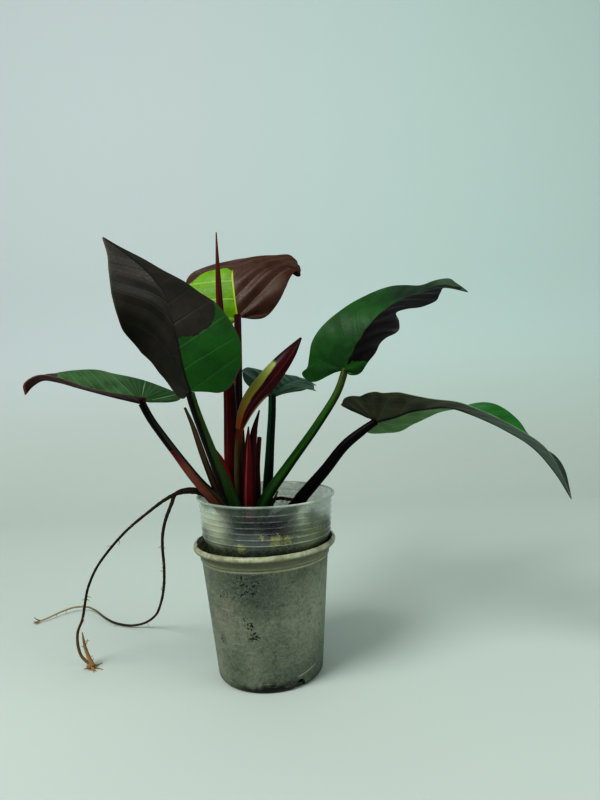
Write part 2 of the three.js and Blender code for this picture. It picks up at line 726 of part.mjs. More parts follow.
function innerPot() {
  const p = INNER_POT;
  const band = (z) => {
    const share = (z - p.shoulderHeight) / (p.height - p.shoulderHeight);
    return p.bandRadius + (p.bandTopRadius - p.bandRadius) * share;
  };
  const ribs = [];
  for (let k = 0; k < p.ribCount; k++) {
    const z = p.shoulderHeight + 5 + k * p.ribSpacing;
    ribs.push([band(z) + p.ribDepth, z], [band(z + p.ribSpacing / 2), z + p.ribSpacing / 2]);
  }
  const rimBottom = p.height - p.rimDepth;
  const profile = [
    [0, p.baseHeight],
    [p.baseRadius - 2, p.baseHeight],
    [p.baseRadius, p.baseHeight + 2],
    [p.shoulderRadius, p.shoulderHeight - 4],
    [p.bandRadius, p.shoulderHeight + 1],
    ...ribs,
    [p.bandTopRadius, rimBottom],
    [p.rimRadius - 0.5, rimBottom + 0.3],
    [p.rimRadius, p.height - 0.8],
    [p.rimRadius - 0.8, p.height],
    [p.bandTopRadius - p.wall, rimBottom],
    [p.bandRadius - p.wall, p.shoulderHeight + 2],
    [p.shoulderRadius - p.wall, p.shoulderHeight - 3],
    [p.baseRadius - p.wall, p.baseHeight + p.floor + 1.5],
    [p.baseRadius - p.wall - 1.5, p.baseHeight + p.floor],
    [0, p.baseHeight + p.floor],
  ];
  const holes = drainHoles(p.floor + 3, p.baseHeight);
  return leaned(cut(lathe(profile, POT_SIDES), holes));
}

// The soil fills the inner pot to a bumpy mound that is higher on the right.
function soilBody() {
  const p = INNER_POT;
  const clear = p.wall + GAP + 0.1;
  const top = (x, y) => {
    const bump = Math.sin(x * 0.21 + 1) * Math.cos(y * 0.17) + 0.6 * Math.sin(x * 0.43 - y * 0.37);
    return SOIL.height + (SOIL.rightRise * x) / p.bandRadius + SOIL.bumps * bump;
  };
  const floor = p.baseHeight + p.floor + GAP + 0.2;
  const wallRing = (radius, z) => [radius, () => z];
  const layers = [
    wallRing(p.baseRadius - clear - 1, floor),
    wallRing(p.baseRadius - clear, floor + 1.5),
    wallRing(p.shoulderRadius - clear, p.shoulderHeight - 4),
    [p.shoulderRadius - clear, (x, y) => top(x, y) - 3.5],
    [p.shoulderRadius - clear - 4, top],
    [p.shoulderRadius * 0.68, top],
    [p.shoulderRadius * 0.42, top],
    [p.shoulderRadius * 0.18, top],
  ];
  const rings = layers.map(([radius, height]) => {
    const ring = [];
    for (let k = 0; k < SOIL.sides; k++) {
      const angle = (2 * Math.PI * k) / SOIL.sides;
      const x = radius * Math.cos(angle);
      const y = radius * Math.sin(angle);
      ring.push(vector([x, y, height(x, y)]));
    }
    return ring;
  });
  const mound = loft(rings, vector([0, 0, floor]), vector([0, 0, top(0, 0)]));
  return cut(leaned(mound), [rod(stem, GAP)]);
}

// The model.

const group = new THREE.Group();

function add(name, geometry, color, { roughness = 0.5, metalness = 0, opacity = 1 } = {}) {
  const material = new THREE.MeshStandardMaterial({ color, roughness, metalness });
  material.side = THREE.FrontSide;
  material.opacity = opacity;
  material.transparent = opacity < 1;
  const mesh = new THREE.Mesh(geometry, material);
  mesh.name = name;
  group.add(mesh);
}

add("outer_pot", outerPot(), GREY_PLASTIC, { roughness: 0.55, opacity: 0.9 });
add("inner_pot", innerPot(), CLEAR_PLASTIC, { roughness: 0.25, opacity: 0.5 });
add("soil", soilBody(), SOIL_BROWN, { roughness: 0.95 });
add("stem", rod(stem), STALK_DARK, { roughness: 0.7 });

const blades = [
  ["upper_left", upperLeft, DARK_LEAF, STALK_DARK],
  ["back", back, BRONZE_LEAF, STALK_DARK],
  ["upper_right", upperRight, GREEN_LEAF, STALK_GREEN],
  ["lower_right", lowerRight, UNDERSIDE, STALK_DARK],
  ["lower_left", lowerLeft, GREEN_LEAF, STALK_DARK],
  ["low_back", lowBack, DARK_LEAF, STALK_DARK],
];

// Each rod gives way to those placed before it, as leaf bases do round a stem.
const placed = [rod(stem, GAP)];

function addRod(name, shape, color, neighbours = []) {
  add(name, cut(rod(shape), [...placed, ...neighbours]), color, { roughness: 0.45 });
  placed.push(rod(shape, GAP));
}

addRod("spear_leaf", spear, RED_SHEATH);
for (const [name, leaf, bladeColor, stalkColor] of blades) {
  const grid = leafGrid(leaf);
  add("blade_" + name, bladePlate(grid), bladeColor, { roughness: 0.4 });
  addRod("stalk_" + name, stalks[name], stalkColor, [bladePlate(grid, GAP)]);
}

const rolled = rolledSheet(youngLeaf);
add("blade_young", plate(rolled, BLADE_THICKNESS), LIME, { roughness: 0.4 });
addRod("stalk_young", stalks.young, RED_SHEATH, [plate(rolled, BLADE_THICKNESS + 2 * GAP)]);

const sheathColors = {
  sheath_red_tip: RED_SHEATH,
  sheath_dark_red: RED_SHEATH,
  cut_stub: OLIVE_STUB,
  sheath_small_red: RED_SHEATH,
  olive_stub: OLIVE_STUB,
  sheath_pink: PINK_SHEATH,
};
for (const [name, shape] of Object.entries(sheaths)) addRod(name, shape, sheathColors[name]);
for (const [name, shape] of Object.entries(roots)) addRod(name, shape, ROOT);

export default group;
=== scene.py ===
"""A potted variegated philodendron in two nested nursery pots, on a plain pale floor."""

import math

import bpy
import numpy as np
from mathutils import Matrix, Vector


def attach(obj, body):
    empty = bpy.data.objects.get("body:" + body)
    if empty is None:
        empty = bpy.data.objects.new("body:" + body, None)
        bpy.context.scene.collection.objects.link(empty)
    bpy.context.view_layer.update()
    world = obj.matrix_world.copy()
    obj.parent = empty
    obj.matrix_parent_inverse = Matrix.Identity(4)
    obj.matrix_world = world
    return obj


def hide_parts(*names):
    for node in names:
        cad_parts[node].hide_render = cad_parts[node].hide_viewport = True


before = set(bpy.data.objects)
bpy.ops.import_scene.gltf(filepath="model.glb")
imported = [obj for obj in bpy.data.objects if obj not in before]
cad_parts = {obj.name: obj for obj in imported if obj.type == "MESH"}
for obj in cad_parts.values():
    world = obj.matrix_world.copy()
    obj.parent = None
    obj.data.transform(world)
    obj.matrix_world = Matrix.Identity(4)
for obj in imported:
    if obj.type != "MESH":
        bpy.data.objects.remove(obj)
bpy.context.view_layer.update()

# Plant and pot sizes are in millimetres, as in the solid model. Meshes are in metres.
MM = 0.001

# Pots.
OUTER_POT = dict(
    base_radius=42.6, corner_radius=4, step_height=96, step_radius=51.2, step_width=1.1,
    rim_radius=57.7, rim_depth=5, height=108.6, wall=1.5, floor=2.4,
)
INNER_POT = dict(
    base_radius=39, base_height=2.8, shoulder_height=109.4, shoulder_radius=48.4,
    band_radius=51.3, band_top_radius=53.8, rim_radius=56, height=144.6, rim_depth=2.2,
    wall=1.1, floor=1.4, rib_spacing=4.5, rib_depth=0.6, rib_count=6,
)
INNER_TILT = math.radians(1.2)
NOTCH = dict(width=9, height=7, count=2, turn=-55)
DRAIN = dict(radius=3.5, ring=22, count=6)
# Places on the outer pot painted paler or darker: turn in degrees, height and reach in millimetres.
# A zone adds how strong it is and its colour. Most are painted light and shade: paler towards the
# pot's left and right sides, darker at its front middle. The crack has a turn and a height at each
# corner.
POT_ZONES = (
    (-95, 78, 34, .75, (60, 69, 64)),
    (-72, 72, 26, .5, (84, 94, 86)),
    (-138, 62, 44, .6, (148, 144, 124)),
    (-50, 50, 50, .75, (164, 168, 148)),
    (-20, 60, 50, .6, (176, 180, 160)),
    (-100, 20, 34, .5, (132, 134, 114)),
    (-126, 93, 12, .6, (96, 98, 60)),
)
POT_CRACK = ((-58, 9.5), (-46, 11.2), (-35, 13))
POT_SPECKS = (
    (-109, 90, 6), (-105, 86, 6), (-102, 82, 5), (-107, 79, 4), (-98, 86, 4),
    (-103, 54, 6), (-101, 46, 7), (-106, 60, 4), (-137, 39, 5), (-96, 70, 3),
)
# Places on the inner pot in millimetres, each with its reach. A zone adds its colour and haze. The
# pale, hazy zones at the left and right are partly the plastic's haze and partly painted reflection
# where the clear wall turns away; the grey ones at the front leave it clearer.
INNER_ZONES = (
    ((-8, -52, 128), 30, (96, 100, 104), .12),
    ((10, -51, 130), 24, (96, 100, 104), .14),
    ((-34, -38, 128), 22, (176, 178, 158), .72),
    ((36, -38, 120), 20, (128, 134, 108), .6),
)
MOSS_CLUMPS = (((12, -51, 119), 9), ((20, -48, 118), 7), ((-14, -49, 113), 8), ((2, -52, 122), 5))
SOIL = dict(height=107, right_rise=4, bumps=1.6)
SOIL_SIDES = 144
SOIL_RINGS = 56
POT_SIDES = 160
WALL_STEPS = 24
STEPS_PER_RIB = 8
# Heights in millimetres of thin pale lines painted round the outer pot at its step, painted
# highlights where its edges catch the light, and how strong each is.
POT_STEP_HIGHLIGHTS = ((95.6, .6), (98.4, .45))
# Each nick in the outer pot's rim: its turn in degrees, how deep it is as a share, and its half
# width in degrees.
RIM_NICKS = ((190, 1, 4), (205, .7, 3))

# Bark chips and moss. A clump has its turn and spread in degrees, and its height.
CHIPS = dict(count=240, smallest=1, largest=2.8, seed=61)
MOSS_SHOOTS = 110
MOSS_SEED = 62
MOSS_ALONG_WALL = (
    (-94, 7, 9), (-70, 6, 12), (-118, 5, 7), (-40, 6, 8), (-10, 8, 9), (60, 10, 6), (150, 9, 7),
)

# Blades.
BLADE_THICKNESS = 0.7
RIB_HEIGHT = 1.1
RIB_SPREAD = 1.3
ROWS = 130
COLUMNS = 26
YOUNG_THICKNESS = 0.8
YOUNG_ROWS = 90
YOUNG_COLUMNS = 80

# Rods: sides round, steps along, and how rough each kind is.
STALK_ROD = dict(sides=24, steps=70, wobble=.012, seed=3)
SHEATH_ROD = dict(sides=20, steps=50, wobble=.02, seed=5)
SPEAR_ROD = dict(sides=28, steps=110, wobble=.01, seed=7)
STEM_ROD = dict(sides=32, steps=30, wobble=.05, seed=11)
ROOT_ROD = dict(sides=12, wobble=.09)
ROOT_STEPS = 260
SHORT_ROOT_STEPS = 60
FIRST_ROOT_SEED = 20
HAIR_ROD = dict(sides=6, steps=8)

# Meshes turn sharp where two faces meet at more than these angles.
SHARP_ANGLE = math.radians(50)
CUT_SHARP_ANGLE = math.radians(35)

# Camera.
CAMERA_PLACE = (34.8, -492.4, 237.2)
CAMERA_PITCH = math.radians(2.1)
CAMERA_ROLL = math.radians(2.96)
CAMERA_LENS = 27.36

# Each lamp has its place and its target in metres, its size in metres, its power and its colour.
LAMPS = dict(
    key=((-0.9, -0.8, 1.5), (0, 0, 0.2), 0.9, 21, (0.95, 1.0, 0.96)),
    fill=((1.2, -0.6, 0.9), (0, 0, 0.2), 1.2, 6, (0.9, 1.0, 0.97)),
)
WORLD_COLOR = (0.90, 1.0, 0.95, 1)
WORLD_STRENGTH = 0.36
# The floor in metres: half its width, where its back rises, the bend's radius and its top. Then
# the steps in the bend.
STAGE = dict(half=3.0, back=1.1, bend=0.5, top=3.0, bend_steps=12)


# Maths.

def unit(v):
    v = np.asarray(v, float)
    return v / np.maximum(np.linalg.norm(v, axis=-1, keepdims=True), 1e-12)


def stations(values, t):
    """A smooth value at each t between values set at even stations from 0 to 1."""
    values = np.asarray(values, float)
    t = np.clip(np.asarray(t, float), 0, 1)
    last = len(values) - 1
    if last == 0:
        return np.full(t.shape, values[0])
    x = t * last
    i = np.minimum(x.astype(int), last - 1)
    f = x - i
    p1 = values[i]
    p2 = values[i + 1]
    p0 = np.where(i > 0, values[np.maximum(i - 1, 0)], 2 * p1 - p2)
    p3 = np.where(i + 2 <= last, values[np.minimum(i + 2, last)], 2 * p2 - p1)
    cubic = 3 * (p1 - p2) + p3 - p0
    return p1 + 0.5 * f * (p2 - p0 + f * (2 * p0 - 5 * p1 + 4 * p2 - p3 + f * cubic))


def spline(points, count):
    """count + 1 points, evenly spaced along a centripetal Catmull-Rom curve."""
    points = [np.array(p, float) for p in points]
    steps = np.linspace(0, 1, 25)[:-1, None]
    dense = []
    for i in range(len(points) - 1):
        p1, p2 = points[i], points[i + 1]
        p0 = points[i - 1] if i > 0 else 2 * p1 - p2
        p3 = points[i + 2] if i + 2 < len(points) else 2 * p2 - p1
        pairs = ((p0, p1), (p1, p2), (p2, p3))
        d0, d1, d2 = (max(np.linalg.norm(b - a) ** 0.5, 1e-4) for a, b in pairs)
        m1 = ((p1 - p0) / d0 - (p2 - p0) / (d0 + d1) + (p2 - p1) / d1) * d1
        m2 = ((p2 - p1) / d1 - (p3 - p1) / (d1 + d2) + (p3 - p2) / d2) * d1
        square = (-3 * p1 + 3 * p2 - 2 * m1 - m2) * steps ** 2
        dense.append(p1 + m1 * steps + square + (2 * p1 - 2 * p2 + m1 + m2) * steps ** 3)
    dense = np.vstack(dense + [points[-1][None]])
    run = np.r_[0, np.cumsum(np.linalg.norm(np.diff(dense, axis=0), axis=1))]
    at = np.linspace(0, run[-1], count + 1)
    return np.stack([np.interp(at, run, dense[:, k]) for k in range(dense.shape[1])], -1), run[-1]


def arc_step(angle, bend, run):
    """The step made by a section that starts at an angle and bends evenly over a run."""
    bend = np.where(np.abs(bend) < 1e-5, 1e-5, bend)
    end = angle + bend * run
    return (np.sin(end) - np.sin(angle)) / bend, (np.cos(angle) - np.cos(end)) / bend, end


def inside_distance(points, corners):
    """Distance from each point to a polygon's edge, positive inside."""
    corners = np.asarray(corners, float)
    nearest = np.full(len(points), np.inf)
    inside = np.zeros(len(points), bool)
    for a, b in zip(corners, np.roll(corners, -1, axis=0)):
        along = b - a
        share = np.clip((points - a) @ along / max(along @ along, 1e-9), 0, 1)
        nearest = np.minimum(nearest, np.linalg.norm(points - a - share[:, None] * along, axis=1))
        crosses = (a[1] > points[:, 1]) != (b[1] > points[:, 1])
        at = a[0] + (points[:, 1] - a[1]) * along[0] / (along[1] if along[1] else 1e-9)
        inside ^= crosses & (points[:, 0] < at)
    return np.where(inside, nearest, -nearest)


# Meshes.

def new_mesh(name, points_mm, faces, attributes=None, materials=(), indices=None):
    """A smooth-shaded object. Attributes are one float or one vector a point."""
    mesh = bpy.data.meshes.new(name)
    mesh.from_pydata((np.asarray(points_mm) * MM).tolist(), [], faces)
    for key, values in (attributes or {}).items():
        values = np.asarray(values, np.float32)
        kind = "FLOAT" if values.ndim == 1 else "FLOAT_VECTOR"
        field = "value" if values.ndim == 1 else "vector"
        layer = mesh.attributes.new(key, kind, "POINT")
        layer.data.foreach_set(field, values.ravel())
    for material in materials:
        mesh.materials.append(material)
    if indices is not None:
        mesh.polygons.foreach_set("material_index", np.asarray(indices, np.int32))
    mesh.polygons.foreach_set("use_smooth", np.ones(len(mesh.polygons), bool))
    mesh.update()
    mesh.set_sharp_from_angle(angle=SHARP_ANGLE)
    piece = bpy.data.objects.new(name, mesh)
    bpy.context.scene.collection.objects.link(piece)
    return piece


def place(piece, slot, *nodes):
    """Puts a piece on the plant in place of CAD nodes."""
    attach(piece, "root")
    if nodes:
        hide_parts(*nodes)
    return piece


def grid_faces(rows, columns, start=0, wrap=False, flip=False):
    """Quads between the points of a grid, listed row by row."""
    i = np.arange(rows - 1)[:, None]
    j = np.arange(columns if wrap else columns - 1)[None, :]
    a = start + i * columns + j
    b = start + i * columns + (j + 1) % columns
    quads = np.stack([a, b, b + columns, a + columns], -1).reshape(-1, 4)
    return (quads[:, ::-1] if flip else quads).tolist()


def ring_points(radius, height, sides):
    angle = 2 * np.pi * np.arange(sides) / sides
    return np.stack([radius * np.cos(angle), radius * np.sin(angle), np.full(sides, height)], -1)


def ring_faces(points, sides):
    """Faces round rings of points and over both ends, whose middles are the last two points."""
    first, last = len(points) - 2, len(points) - 1
    end = first - sides
    faces = grid_faces(first // sides, sides, wrap=True)
    faces += [[(k + 1) % sides, k, first] for k in range(sides)]
    return faces + [[end + k, end + (k + 1) % sides, last] for k in range(sides)]


def path_frame(path, steps):
    """Points along a path, its length, and its forward, side and up directions at each."""
    centre, length = spline(path, steps)
    forward = unit(np.gradient(centre, axis=0))
    side = unit(np.cross(forward, (0.0, 1.0, 0.0)))
    return centre, length, forward, side, np.cross(side, forward)


def grid_normals(grid):
    along = np.gradient(grid, axis=0)
    across = np.gradient(grid, axis=1)
    return unit(np.cross(across, along))


def plate(grid, thickness, rib=0.0):
    """Points and quads of a closed thin plate, with 0, 1 or 2 for its upper, lower and edge faces."""
    rows, columns = grid.shape[:2]
    normals = grid_normals(grid)
    thickness = np.broadcast_to(thickness, (rows, columns))[..., None]
    rib = np.broadcast_to(rib, (rows, columns))[..., None]
    upper = grid + normals * thickness / 2
    lower = grid - normals * (thickness / 2 + rib)
    points = np.concatenate([upper.reshape(-1, 3), lower.reshape(-1, 3)])
    below = rows * columns
    top = grid_faces(rows, columns)
    bottom = grid_faces(rows, columns, below, flip=True)
    ring = list(range(columns))
    ring += [i * columns + columns - 1 for i in range(1, rows)]
    ring += [(rows - 1) * columns + j for j in range(columns - 2, -1, -1)]
    ring += [i * columns for i in range(rows - 2, 0, -1)]
    edge = [[q, p, p + below, q + below] for p, q in zip(ring, ring[1:] + ring[:1])]
    kinds = [0] * len(top) + [1] * len(bottom) + [2] * len(edge)
    return points, top + bottom + edge, kinds


def tube(path, radii, sides=16, steps=60, flat=1.0, scroll=0.0, wobble=0.0, seed=0):
    """A closed rod along a path, with its turn round the path and its place along it."""
    centre, length, forward, side, up = path_frame(path, steps)
    t = np.linspace(0, 1, steps + 1)
    turn = np.arange(sides) / sides
    random = np.random.default_rng(seed)
    rough = 1 + wobble * random.standard_normal((steps + 1, 1)) * 0.5
    rough = rough + wobble * random.standard_normal((steps + 1, sides)) * 0.35
    radius = stations(radii, t)[:, None] * (1 + scroll * turn)[None, :] * rough
    angle = 2 * np.pi * turn
    out = side[:, None] * (radius * np.cos(angle))[..., None]
    out = out + up[:, None] * (radius * flat * np.sin(angle))[..., None]
    rings = centre[:, None] + out
    first = centre[0] - forward[0] * radii[0] * 0.4
    last = centre[-1] + forward[-1] * radii[-1] * 0.4
    points = np.concatenate([rings.reshape(-1, 3), first[None], last[None]])
    faces = ring_faces(points, sides)
    ring = np.stack([
        np.broadcast_to(np.cos(angle), (steps + 1, sides)),
        np.broadcast_to(np.sin(angle), (steps + 1, sides)),
        np.broadcast_to(t[:, None] * length / 10, (steps + 1, sides)),
    ], -1).reshape(-1, 3)
    ring = np.vstack([ring, [[0, 0, 0]], [[0, 0, length / 10]]])
    share = np.r_[np.repeat(t, sides), 0, 1]
    return points, faces, {"ring": ring, "share": share}


def joined(parts):
    """One list of points, faces and attributes from several."""
    points, faces, fields = [], [], {}
    start = 0
    for some_points, some_faces, some_fields in parts:
        points.append(some_points)
        faces += [[start + k for k in face] for face in some_faces]
        start += len(some_points)
        for key, values in some_fields.items():
            fields.setdefault(key, []).append(values)
    return np.vstack(points), faces, {key: np.concatenate(v) for key, v in fields.items()}


# Leaves. The lists are those of the solid model.

LEAVES = dict(
    upper_left=dict(
        midrib=[(-43, -60, 231), (-47, -62, 250), (-51, -60, 275), (-60, -52, 304),
                (-77, -42, 325), (-108, -28, 351)],
        side=[(1, -.15, .2), (1, -.1, .5), (.8, 0, .7)],
        width=42, pleat=(1.5, .5, 4.5), slope=(2.2, .4),
        left=dict(
            fold=[-50, -44, -36, -16, 2, 14, 22], curl=[10, 6, 0],
            outline=[(-.01, .1), (-.03, .4), (0, .62), (.09, .76), (.18, .92), (.29, 1.1),
                     (.42, 1.1), (.6, .9), (.73, .66), (.82, .44), (.9, .21), (1, .012)]),
        right=dict(
            fold=[-10, -10, -15, -32, -50, -58, -50], curl=[-8],
            outline=[(0, .07), (-.02, .28), (-.04, .48), (-.03, .67), (.02, .85), (.07, .98),
                     (.2, 1.04), (.3, .93), (.39, .81), (.49, .56), (.62, .37), (.78, .23),
                     (.9, .08), (1, .012)]),
        patch=[(-.2, .015), (.27, .015), (.262, .2), (.258, .36), (.278, .46), (.28, .55),
               (.305, .67), (.36, .74), (.43, .8), (.43, 1.4), (-.2, 1.4)],
    ),
    back=dict(
        midrib=[(-15, 30, 291), (-17, 32, 312), (-18, 42, 334), (-13, 62, 347),
                (-2, 88, 346), (10, 112, 334), (20, 128, 318)],
        side=[(1, -.05, 0), (1, -.3, .03), (1, -.5, .05)],
        width=46, roll_share=.3, pleat=(.8, 2.2, 9), slope=(.15, .8),
        left=dict(
            fold=[0, -2, -6], curl=[-12],
            outline=[(-.02, .08), (-.08, .25), (-.11, .5), (-.08, .76), (.03, .93), (.2, .98),
                     (.38, .94), (.56, .82), (.72, .6), (.85, .34), (.94, .13), (1, .012)]),
        right=dict(
            fold=[-5, -4, -5, -3, -8], curl=[10, 0, 0, -10],
            roll=[0, 0, -55, -160, -160, -80, -30, 0],
            outline=[(0, .08), (-.02, .3), (-.02, .5), (.02, .7), (.08, .88), (.16, 1.04),
                     (.27, 1.27), (.4, 1.5), (.54, 1.38), (.68, 1), (.8, .64), (.9, .3),
                     (1, .012)]),
        patch=[(-.2, -.02), (.29, -.02), (.322, -.12), (.325, -.4), (.318, -.57), (.3, -.68),
               (.27, -.85), (.22, -1.3), (-.2, -1.3)],
    ),
    upper_right=dict(
        midrib=[(73, 10, 242), (82, 6, 260), (98, 2, 281), (118, 0, 295), (138, 0, 301),
                (156, 2, 304), (176, 6, 300)],
        side=[(.55, -.7, -.4), (.5, -.6, -.55), (.3, -.6, -.7), (.1, -.8, -.5)],
        width=38, pleat=(.7, 2.2, 9), slope=(.7, .9),
        left=dict(
            fold=[35, 25, 5, -15, -22, -22, -8, 15],
            outline=[(-.02, .07), (-.04, .16), (-.09, .3), (-.15, .48), (-.165, .66),
                     (-.135, .84), (-.09, .78), (-.03, .83), (.08, .92), (.18, .88), (.32, .82),
                     (.46, .84), (.56, .76), (.65, .6), (.75, .36), (.83, .42), (.905, .5),
                     (.945, .28), (1, .012)]),
        right=dict(
            fold=[10, 25, 30, 30, 30, 20], curl=[-10], wave=(2.5, 3.2, .35),
            outline=[(0, .05), (-.01, .22), (.03, .48), (.12, .78), (.21, .9), (.27, .81),
                     (.32, .84), (.4, .96), (.45, .8), (.48, .56), (.53, .63), (.63, .75),
                     (.69, .72), (.76, .45), (.84, .14), (.92, .05), (1, .012)]),
        patch=[(.03, .03), (.08, .2), (.1, .5), (.13, .75), (.16, 1.4), (.8, 1.4), (.9, .3),
               (.96, -.1), (.8, -.12), (.7, .02)],
    ),
    lower_right=dict(
        midrib=[(93, -20, 200), (106, -25, 203), (118, -29, 207), (132, -33, 209),
                (147, -36, 209), (163, -39, 203), (185, -44, 191), (204, -48, 177),
                (218, -52, 158), (228, -54, 139)],
        side=[(0, -1, .3), (0, -1, .1), (0, -1, 0)],
        width=32, pleat=(1, 1, 9), slope=(.8, .8),
        left=dict(
            fold=[-10, -15, -6, 8, 32, 40, 32, 45, 45],
            outline=[(-.01, .08), (-.06, .3), (-.08, .55), (-.05, .8), (.03, .97), (.12, .9),
                     (.22, .83), (.32, .94), (.42, 1.2), (.5, 1.08), (.57, .88), (.65, .62),
                     (.71, .4), (.76, .42), (.82, .55), (.89, .43), (.95, .22), (1, .012)]),
        right=dict(
            fold=[27, 28, 12, 2, 0, 0, 0, 0, 0], lobe_lift=32,
            outline=[(-.02, .06), (-.08, .09), (-.155, .2), (-.14, .42), (-.1, .72), (-.03, .98),
                     (.05, 1.1), (.13, 1), (.2, .8), (.3, .68), (.4, .86), (.52, 1.04),
                     (.66, 1), (.78, .72), (.9, .28), (1, .012)]),
        patch=[(-.4, -.01), (.72, -.01), (.7, -1.4), (-.4, -1.4)],
    ),
    lower_left=dict(
        midrib=[(-92, -8, 224), (-110, -19, 230), (-131, -32, 238), (-145, -40, 243.5),
                (-154, -43, 245), (-161, -45, 241), (-166, -47, 235)],
        side=[(-.4, 1, .25), (-.4, 1, .3), (-.3, 1, .3)],
        width=36, pleat=(.8, .8, 8), slope=(.6, .6),
        left=dict(
            fold=[24, 20, 17, 18, 28, 42],
            outline=[(-.01, .1), (0, .35), (.04, .62), (.16, .72), (.35, .9), (.49, .95),
                     (.6, .82), (.72, .58), (.84, .42), (.93, .3), (1, .012)]),
        right=dict(
            fold=[18, 16, 18, 14, 8, 0], lobe_lift=5,
            outline=[(-.02, .06), (-.12, .08), (-.28, .18), (-.39, .38), (-.37, .62),
                     (-.22, .86), (-.04, 1.04), (.14, 1.08), (.28, 1.02), (.4, .9), (.52, .76),
                     (.6, .64), (.7, .46), (.82, .28), (.92, .12), (1, .012)]),
        patch=[(.68, -1.4), (.74, 0), (.66, 1.4), (1.2, 1.4), (1.2, -1.4)],
    ),
    low_back=dict(
        midrib=[(11, 30, 221), (18, 45, 228), (28, 62, 233), (41, 80, 235), (51, 92, 229)],
        side=[(.6, -.7, -.2), (.6, -.7, -.2), (.7, -.7, -.3)],
        width=32, pleat=(1, 1, 8), slope=(.5, .5),
        left=dict(
            fold=[52, 42, 30, 18, 8, 0, -5], curl=[-10],
            outline=[(-.02, .08), (-.1, .27), (-.13, .57), (-.1, .87), (.03, 1.08), (.2, 1.14),
                     (.38, 1.08), (.56, .88), (.72, .6), (.85, .34), (.94, .13), (1, .012)]),
        right=dict(
            fold=[17, 13, 4, -3, -6, -10, -15], curl=[-15],
            outline=[(0, .08), (.03, .3), (.04, .6), (.07, .92), (.2, 1.02), (.35, .97),
                     (.5, .75), (.68, .5), (.85, .22), (1, .012)]),
        patch=[(.3, -1.4), (.34, 0), (.3, 1.4), (.62, 1.4), (.6, 0), (.66, -1.4)],
    ),
)

YOUNG_LEAF = dict(
    axis=[(-14, -14, 200), (-9, -18, 212), (-2, -20, 223), (9, -21, 235), (20, -21, 247),
          (29, -20, 257), (38, -17, 268)],
    radius=[3.2, 6, 7.8, 8.4, 7.4, 4.8, .5], turns=[.8, 1.1, 1.2, 1.22, 1.15, 1, .7],
    open_edge=200, tighten=.3,
)

STEM = dict(path=[(-14, -4, 92), (-14, -3, 112), (-15, -2, 132)], radii=[11, 13, 13, 10, 6])

STALKS = dict(
    upper_left=dict(
        path=[(-18, -8, 120), (-22, -15, 139), (-32, -36, 179), (-41, -56, 219), (-43, -60, 230)],
        radii=[6, 5.8, 4.4, 3.6, 3.2]),
    back=dict(
        path=[(-17, 2, 118), (-17, 11, 160), (-17.4, 22, 221), (-16, 27, 255), (-14.8, 30.4, 293.5)],
        radii=[5.5, 4.6, 3.9, 3.3, 3]),
    upper_right=dict(
        path=[(-6, -3, 126), (5, -3, 144), (24, 1, 168), (48, 5, 198), (66, 8, 224),
              (73.6, 10.1, 242.6)],
        radii=[5, 4.4, 3.8, 3.5, 3.2, 3]),
    lower_right=dict(
        path=[(-8, 0, 112), (10, -2, 121), (25, -3, 132), (33, -6, 142), (52, -11, 163),
              (68, -15, 182), (82, -18, 193), (92.6, -20.1, 200)],
        radii=[6, 5.7, 5.2, 4.7, 4.2, 3.8, 2.8]),
    lower_left=dict(
        path=[(-24, -4, 122), (-31, -7, 138), (-46, -9, 154), (-61, -10, 175), (-74, -10, 194),
              (-85, -9, 211), (-91, -8, 223)],
        radii=[5, 4.4, 3.4, 3.1, 3]),
    low_back=dict(
        path=[(-5, 6, 120), (2, 12, 134), (5, 18, 157), (8, 25, 187), (10, 28, 206),
              (11.2, 30.6, 223.5)],
        radii=[5, 4.4, 3.8, 3.4, 3.2]),
    young=dict(
        path=[(-15, -6, 120), (-17.5, -8, 146), (-17.3, -10.5, 166), (-16, -12.2, 183),
              (-14, -13.4, 198), (-12.4, -14.8, 203)],
        radii=[4.6, 4.2, 3.6, 3.2, 3, 2.6]),
)

SPEAR = dict(
    path=[(-22, 1, 118), (-23, 1, 170), (-22, 1, 229), (-25.6, 0, 293),
          (-25.8, 0, 319), (-25.4, 0, 357)],
    radii=[5.6, 5.8, 4.9, 3.1, 2.3, .4], scroll=.12,
)

SHEATHS = dict(
    sheath_red_tip=dict(
        path=[(-12, -11, 124), (-11.5, -14, 142), (-9.6, -16.4, 167), (-6.6, -17.4, 201)],
        radii=[5, 5, 4.2, 3, .5], flat=.6),
    sheath_dark_red=dict(
        path=[(-9, -3, 124), (-8.5, -4, 150), (-6.4, -5.5, 176), (-3, -7, 197), (2, -8, 213)],
        radii=[4, 4.2, 3.8, 3, .5], flat=.6),
    cut_stub=dict(
        path=[(-6, 4, 122), (-4, 6, 147), (-3, 6, 167), (0, 5, 190)], radii=[3.4, 2.8, 2.2, 1.8]),
    sheath_small_red=dict(
        path=[(-24, -8, 124), (-25, -10, 148), (-27, -11.5, 162), (-30, -12, 174), (-35, -12, 185)],
        radii=[2.8, 4.2, 4.6, 3.2, .5], flat=.45),
    olive_stub=dict(
        path=[(-26, 0, 122), (-36, -2, 148), (-45, -6, 178), (-52, -8, 204), (-57, -9, 218)],
        radii=[3.2, 3, 2.6, 2.2, 1]),
    sheath_pink=dict(
        path=[(-24, -8, 124), (-36, -13, 140), (-48, -16, 157), (-59, -17, 173), (-68, -17, 185)],
        radii=[3, 3.4, 3.2, 3, 1.4], flat=.5),
)

